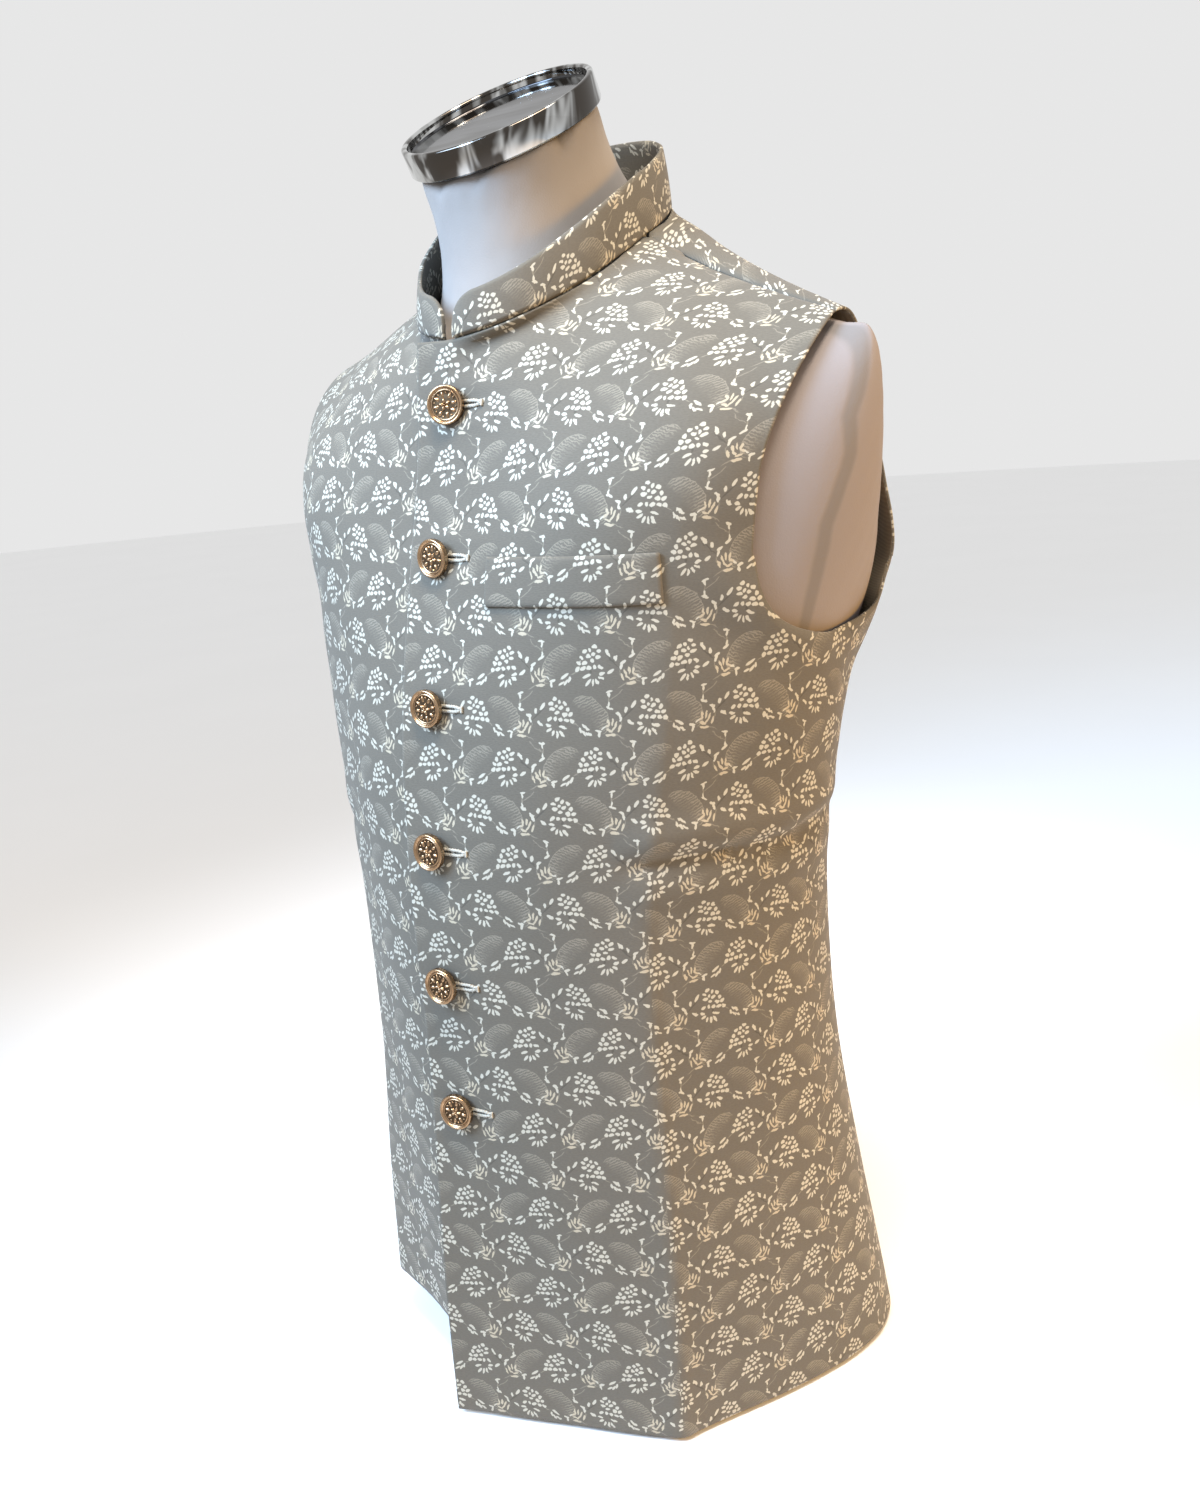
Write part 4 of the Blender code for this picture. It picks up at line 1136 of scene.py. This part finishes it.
class JACKET_OT_welt(bpy.types.Operator):
    """Build the welt of the chest pocket"""

    bl_idname = "jacket.welt"
    bl_label = "Build Pocket Welt"

    def execute(self, context):
        surface = FrontSurface()
        left_x, right_x, bottom, top = WELT_SPAN
        across, tall = 54, 16
        points, normals, lengths = [], [], []
        for i in range(across + 1):
            x = left_x + (right_x - left_x) * i / across
            for j in range(tall + 1):
                z = bottom + (top - bottom) * j / tall
                spot, out, length = surface.at(x, z + HEM_Z)
                edge = min(i, across - i, j * 1.5, (tall - j) * 1.5)
                points.append(tuple(spot + out * (0.0024 + 0.0004 * blend(edge / 3))))
                normals.append(tuple(out))
                lengths.append(tuple(length))
        faces = []
        for i in range(across):
            for j in range(tall):
                a = i * (tall + 1) + j
                faces.append((a, a + tall + 1, a + tall + 2, a + 1))
        made = shell_object("pocket_welt_cloth", np.array(points), np.array(normals), np.array(faces),
                            np.array(lengths), np.zeros((len(faces), 2)), WELT_WALL, WELT_EDGE)
        # The welt is folded from the jacket's own cloth, so its inner face is jacquard too.
        made.data.materials.append(jacquard(context))
        made.data.materials.append(jacquard(context))
        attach(made, "root")
        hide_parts("pocket_welt")
        return {"FINISHED"}


def turned_mesh(outline, segments, ribbed=()):
    """A solid of revolution about +Z; rings named in ribbed have a ridged edge."""
    mesh = bmesh.new()
    rings = []
    for number, (radius, height) in enumerate(outline):
        ring = []
        for k in range(segments):
            reach = radius * (1 - 0.035 * (k % 2)) if number in ribbed else radius
            turn = 2 * pi * k / segments
            ring.append(mesh.verts.new((reach * cos(turn), reach * sin(turn), height)))
        rings.append(ring)
    for a, b in zip(rings, rings[1:]):
        for k in range(segments):
            i = (k + 1) % segments
            mesh.faces.new((a[k], a[i], b[i], b[k]))
    mesh.faces.new(rings[0][::-1])
    mesh.faces.new(rings[-1])
    bmesh.ops.recalc_face_normals(mesh, faces=mesh.faces)
    return mesh


def add_petal(mesh, x, y, angle, long, wide, tall, base, look):
    """A raised leaf-shaped boss on the face of a button."""
    rows = []
    for t in (-1.0, -0.7, -0.3, 0.2, 0.6, 0.9, 1.0):
        half = wide * sqrt(max(0.0, 1 - t * t)) * (1.0 - 0.25 * t) + 1e-6
        rise = tall * sqrt(max(0.0, 1 - t * t))
        row = []
        for s, h in ((-1, 0.0), (-0.5, 0.75), (0, 1.0), (0.5, 0.75), (1, 0.0)):
            a, b = t * long, s * half
            along = x + a * cos(angle) - b * sin(angle)
            across = y + a * sin(angle) + b * cos(angle)
            row.append(mesh.verts.new((along, across, base + rise * h)))
        rows.append(row)
    for a, b in zip(rows, rows[1:]):
        for k in range(4):
            face = mesh.faces.new((a[k], b[k], b[k + 1], a[k + 1]))
            face.material_index = look
            face.smooth = True


class JACKET_OT_buttons(bpy.types.Operator):
    """Build the six struck metal buttons"""

    bl_idname = "jacket.buttons"
    bl_label = "Build Buttons"

    def execute(self, context):
        settings = context.scene.jacket_settings
        surface = FrontSurface()
        bright = gold_material(settings, "antique_gold_plate", 1.0, 0.26)
        sunk = gold_material(settings, "antique_gold_recess", 0.20, 0.45)
        outline = (
            (0.0026, 0.0002), (0.0026, 0.0029), (0.0080, 0.0031), (0.0112, 0.0034), (0.0119, 0.0040),
            (0.0120, 0.0047), (0.0120, 0.0062), (0.0119, 0.0070), (0.0117, 0.0075), (0.0113, 0.00780),
            (0.0108, 0.0078), (0.0104, 0.0075), (0.0101, 0.0070), (0.0097, 0.00655), (0.0094, 0.00650),
            (0.0092, 0.0068), (0.0089, 0.0069), (0.0086, 0.0067), (0.0083, 0.00655), (0.0060, 0.00675),
            (0.0020, 0.0069),
        )
        for k in range(BUTTON_COUNT):
            spot, _, _ = surface.at(0.0, BUTTON_TOP_Z - BUTTON_PITCH * k + HEM_Z)
            swing = radians(BUTTON_SWINGS[k])
            out = Vector((sin(swing), -cos(swing), 0.06)).normalized()
            across = Vector((0, 0, 1)).cross(out).normalized()
            up = out.cross(across)
            mesh = turned_mesh(outline, 72, ribbed=(5, 6))
            for face in mesh.faces:
                face.smooth = True
                radius = face.calc_center_median().xy.length
                height = face.calc_center_median().z
                in_recess = radius < 0.0086 or 0.0094 < radius < 0.0098
                face.material_index = 1 if in_recess and height > 0.006 else 0
            for n in range(8):
                a = 2 * pi * n / 8 + 0.2
                add_petal(mesh, 0.0062 * cos(a), 0.0062 * sin(a), a, 0.0020, 0.00105, 0.0008, 0.0067, 0)
                b = a + pi / 8
                add_petal(mesh, 0.0072 * cos(b), 0.0072 * sin(b), b + 0.7, 0.0009, 0.0004, 0.0006, 0.0067, 0)
            for n in range(5):
                a = 2 * pi * n / 5 + 0.5
                add_petal(mesh, 0.0024 * cos(a), 0.0024 * sin(a), a, 0.0017, 0.0010, 0.0010, 0.0069, 0)
            add_petal(mesh, 0, 0, 0, 0.0008, 0.0008, 0.0014, 0.0069, 0)
            turn = Matrix((across, up, out)).transposed().to_4x4()
            spin = Matrix.Rotation(0.4 * k, 4, "Z")
            move = Matrix.Translation(spot)
            mesh.transform(move @ turn @ spin)
            data = bpy.data.meshes.new("button_%d_struck" % (k + 1))
            mesh.to_mesh(data)
            mesh.free()
            data.materials.append(bright)
            data.materials.append(sunk)
            made = bpy.data.objects.new("button_%d_struck" % (k + 1), data)
            context.scene.collection.objects.link(made)
            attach(made, "root")
            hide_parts("button_%d" % (k + 1))
        return {"FINISHED"}


class JACKET_OT_buttonholes(bpy.types.Operator):
    """Sew the worked buttonholes beside the buttons"""

    bl_idname = "jacket.buttonholes"
    bl_label = "Sew Buttonholes"

    def execute(self, context):
        thread = thread_material()
        surface = FrontSurface()
        for k in range(BUTTON_COUNT):
            height = BUTTON_TOP_Z - BUTTON_PITCH * k + HEM_Z
            mesh = bmesh.new()
            for side in (-1, 1):
                line = []
                for n in range(61):
                    x = HOLE_START_X + HOLE_LENGTH * n / 60
                    # The two sides draw together at the far end.
                    apart = HOLE_HALF_GAP * (1 - 0.75 * max(0.0, (n - 44) / 16) ** 1.5)
                    apart += 0.0002 * sin(n * 2.1)
                    spot, out, _ = surface.at(x, height + side * apart)
                    line.append(spot + out * 0.0006)
                self.add_cord(mesh, line, HOLE_CORD)
            bar = []
            for n in range(11):
                spot, out, _ = surface.at(0.0243, height - 0.0020 + 0.0040 * n / 10)
                bar.append(spot + out * 0.0007)
            self.add_cord(mesh, bar, 0.0009)
            data = bpy.data.meshes.new("buttonhole_%d" % (k + 1))
            mesh.to_mesh(data)
            mesh.free()
            data.shade_smooth()
            data.materials.append(thread)
            made = bpy.data.objects.new("buttonhole_%d" % (k + 1), data)
            context.scene.collection.objects.link(made)
            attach(made, "root")
        return {"FINISHED"}

    @staticmethod
    def add_cord(mesh, line, radius):
        """A ridged cord of stitches along a line of points."""
        rings = []
        for n, spot in enumerate(line):
            along = (line[min(n + 1, len(line) - 1)] - line[max(n - 1, 0)]).normalized()
            side = along.cross(Vector((0, -1, 0))).normalized()
            rise = side.cross(along)
            reach = radius * (1.12 if n % 2 else 0.88)
            rings.append([
                mesh.verts.new(spot + side * reach * cos(a) + rise * reach * sin(a))
                for a in [2 * pi * s / 8 for s in range(8)]
            ])
        for a, b in zip(rings, rings[1:]):
            for s in range(8):
                i = (s + 1) % 8
                mesh.faces.new((a[s], b[s], b[i], a[i]))
        mesh.faces.new(rings[0])
        mesh.faces.new(rings[-1][::-1])


class JACKET_OT_form(bpy.types.Operator):
    """Cover the dress form and plate its neck cap"""

    bl_idname = "jacket.form"
    bl_label = "Finish Form and Cap"

    def execute(self, context):
        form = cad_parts["dress_form"]
        mesh = bmesh.new()
        mesh.from_mesh(form.data)
        bmesh.ops.remove_doubles(mesh, verts=mesh.verts, dist=1e-5)
        data = bpy.data.meshes.new("dress_form_cover")
        mesh.to_mesh(data)
        mesh.free()
        data.shade_smooth()
        made = bpy.data.objects.new("dress_form_cover", data)
        context.scene.collection.objects.link(made)
        smooth = made.modifiers.new("smooth", "SUBSURF")
        smooth.levels = smooth.render_levels = 2
        data.materials.append(cover_material(context.scene.jacket_settings))
        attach(made, "root")
        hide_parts("dress_form")
        outline = (
            (0.0600, 0.0000), (0.0628, 0.0001), (0.0636, 0.0006), (0.0640, 0.0015), (0.0640, 0.0158),
            (0.0638, 0.0167), (0.0633, 0.0172), (0.0626, 0.0174), (0.0612, 0.0174), (0.0605, 0.0172),
            (0.0600, 0.0166), (0.0599, 0.0158), (0.0599, 0.0122), (0.0594, 0.0112), (0.0580, 0.0110),
            (0.0200, 0.0110),
        )
        mesh = turned_mesh(outline, 160)
        for face in mesh.faces:
            face.smooth = len(face.verts) == 4
            face.material_index = 1 if face.calc_center_median().xy.length < 0.0598 else 0
        tilt = Matrix.Rotation(NECK_TILT, 4, "X")
        # The cap stands a little off the neck, as its solid does.
        lift = Matrix.Translation((0, 0, 0.0004))
        mesh.transform(Matrix.Translation(NECK_MIDDLE + MIDDLE_SHIFT) @ tilt @ lift)
        data = bpy.data.meshes.new("neck_cap_plated")
        mesh.to_mesh(data)
        mesh.free()
        # Both plates carry painted reflections in their colour. The second covers the sunken disc inside the
        # rim and the hidden underside, and is darker still as painted shade.
        for name, light, dark, stretch in (
            ("chromium_plate_painted_reflections", "#d2d3d2", "#4c4742", (70.0, 70.0, 9.0)),
            ("chromium_plate_painted_shade_and_reflections", "#5c5d60", "#262424", (8.0, 48.0, 8.0)),
        ):
            data.materials.append(chrome_material(name, light, dark, stretch))
        cap = bpy.data.objects.new("neck_cap_plated", data)
        context.scene.collection.objects.link(cap)
        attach(cap, "root")
        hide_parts("neck_cap")
        return {"FINISHED"}


class JACKET_OT_stage(bpy.types.Operator):
    """Set the floor, the lights and the camera"""

    bl_idname = "jacket.stage"
    bl_label = "Set Stage"

    def execute(self, context):
        scene = context.scene
        scene.view_settings.view_transform = "Standard"
        self.add_floor(context)
        self.add_lights(context)
        camera = bpy.data.cameras.new("camera")
        camera.lens = 32.08
        camera.sensor_width = 36
        camera.clip_end = 30
        holder = bpy.data.objects.new("camera", camera)
        scene.collection.objects.link(holder)
        azimuth, yaw, pitch, roll = 0.68176, -0.01832, 0.25581, -0.07953
        place = Vector((sin(azimuth) * 0.92029, -cos(azimuth) * 0.92029, 0.68139 + HEM_Z)) + MIDDLE_SHIFT
        turn = azimuth + yaw
        ahead = Vector((-sin(turn) * cos(pitch), cos(turn) * cos(pitch), -sin(pitch)))
        right = Vector((cos(turn), sin(turn), 0))
        up = right.cross(ahead)
        level_right = right * cos(roll) + up * sin(roll)
        level_up = up * cos(roll) - right * sin(roll)
        axes = Matrix((level_right, level_up, -ahead)).transposed().to_4x4()
        holder.matrix_world = Matrix.Translation(place) @ axes
        scene.camera = holder
        return {"FINISHED"}

    @staticmethod
    def add_floor(context):
        mesh = bmesh.new()
        bmesh.ops.create_circle(mesh, cap_ends=True, segments=96, radius=9.0)
        data = bpy.data.meshes.new("floor")
        mesh.to_mesh(data)
        mesh.free()
        made, tree, shader = new_material("painted_studio_floor")
        place = add_node(tree, "TexCoord", {}).node.outputs["Object"]
        dust = add_node(tree, "TexNoise", {}, place, Scale=3.0)
        tint = add_node(tree, "Mix", {"data_type": "RGBA"}, dust,
                        (*linear("#f4f4f4"), 1), (*linear("#f7f7f7"), 1))
        tree.links.new(tint, shader.inputs["Base Color"])
        shader.inputs["Roughness"].default_value = 0.9
        data.materials.append(made)
        floor = bpy.data.objects.new("floor", data)
        context.scene.collection.objects.link(floor)

    @staticmethod
    def add_lights(context):
        world = bpy.data.worlds.new("studio")
        world.use_nodes = True
        back = world.node_tree.nodes["Background"]
        back.inputs["Color"].default_value = (*linear("#ffffff"), 1)
        back.inputs["Strength"].default_value = 0.80
        context.scene.world = world
        for name, place, aim, size, power, tint, spread in (
            ("window", (-0.60, -1.20, 1.55), (-0.03, -0.08, 0.68), 1.0, 15.0, "#bcdcff", 60),
            ("ceiling", (0.35, -0.35, 1.95), (0.05, 0.0, 0.75), 0.6, 3.3, "#fff0dc", 44),
            ("lamp", (1.55, 0.30, 0.55), (0.1, 0.0, 0.30), 0.6, 7.0, "#ffbb2a", 90),
        ):
            data = bpy.data.lights.new(name, "AREA")
            data.shape = "SQUARE"
            data.size = size
            data.energy = power
            data.color = linear(tint)
            data.spread = radians(spread)
            lamp = bpy.data.objects.new(name, data)
            lamp.location = place
            lamp.visible_glossy = name != "lamp"
            lamp.rotation_euler = (Vector(aim) - Vector(place)).to_track_quat("-Z", "Y").to_euler()
            context.scene.collection.objects.link(lamp)


class JACKET_PT_sidebar(bpy.types.Panel):
    """Lists the jacket's settings and its building steps"""

    bl_idname = "JACKET_PT_sidebar"
    bl_label = "Nehru Jacket"
    bl_space_type = "VIEW_3D"
    bl_region_type = "UI"
    bl_category = "Jacket"

    def draw(self, context):
        settings = context.scene.jacket_settings
        for name in ("wall", "fineness", "crease_depth", "ground", "flower", "shell", "cover", "gold"):
            self.layout.prop(settings, name)
        for step in OPERATORS:
            self.layout.operator(step.bl_idname)


OPERATORS = (
    JACKET_OT_panels, JACKET_OT_collar, JACKET_OT_welt, JACKET_OT_buttons,
    JACKET_OT_buttonholes, JACKET_OT_form, JACKET_OT_stage,
)
CLASSES = (JacketSettings, *OPERATORS, JACKET_PT_sidebar)


def register():
    """Makes the jacket's classes and its settings known."""
    for each in CLASSES:
        bpy.utils.register_class(each)
    bpy.types.Scene.jacket_settings = bpy.props.PointerProperty(type=JacketSettings)


def unregister():
    """Takes the settings and the classes away again."""
    del bpy.types.Scene.jacket_settings
    for each in reversed(CLASSES):
        bpy.utils.unregister_class(each)


def main():
    """Builds every piece in order."""
    register()
    bpy.ops.jacket.panels()
    bpy.ops.jacket.collar()
    bpy.ops.jacket.welt()
    bpy.ops.jacket.buttons()
    bpy.ops.jacket.buttonholes()
    bpy.ops.jacket.form()
    bpy.ops.jacket.stage()


if __name__ == "__main__":
    main()
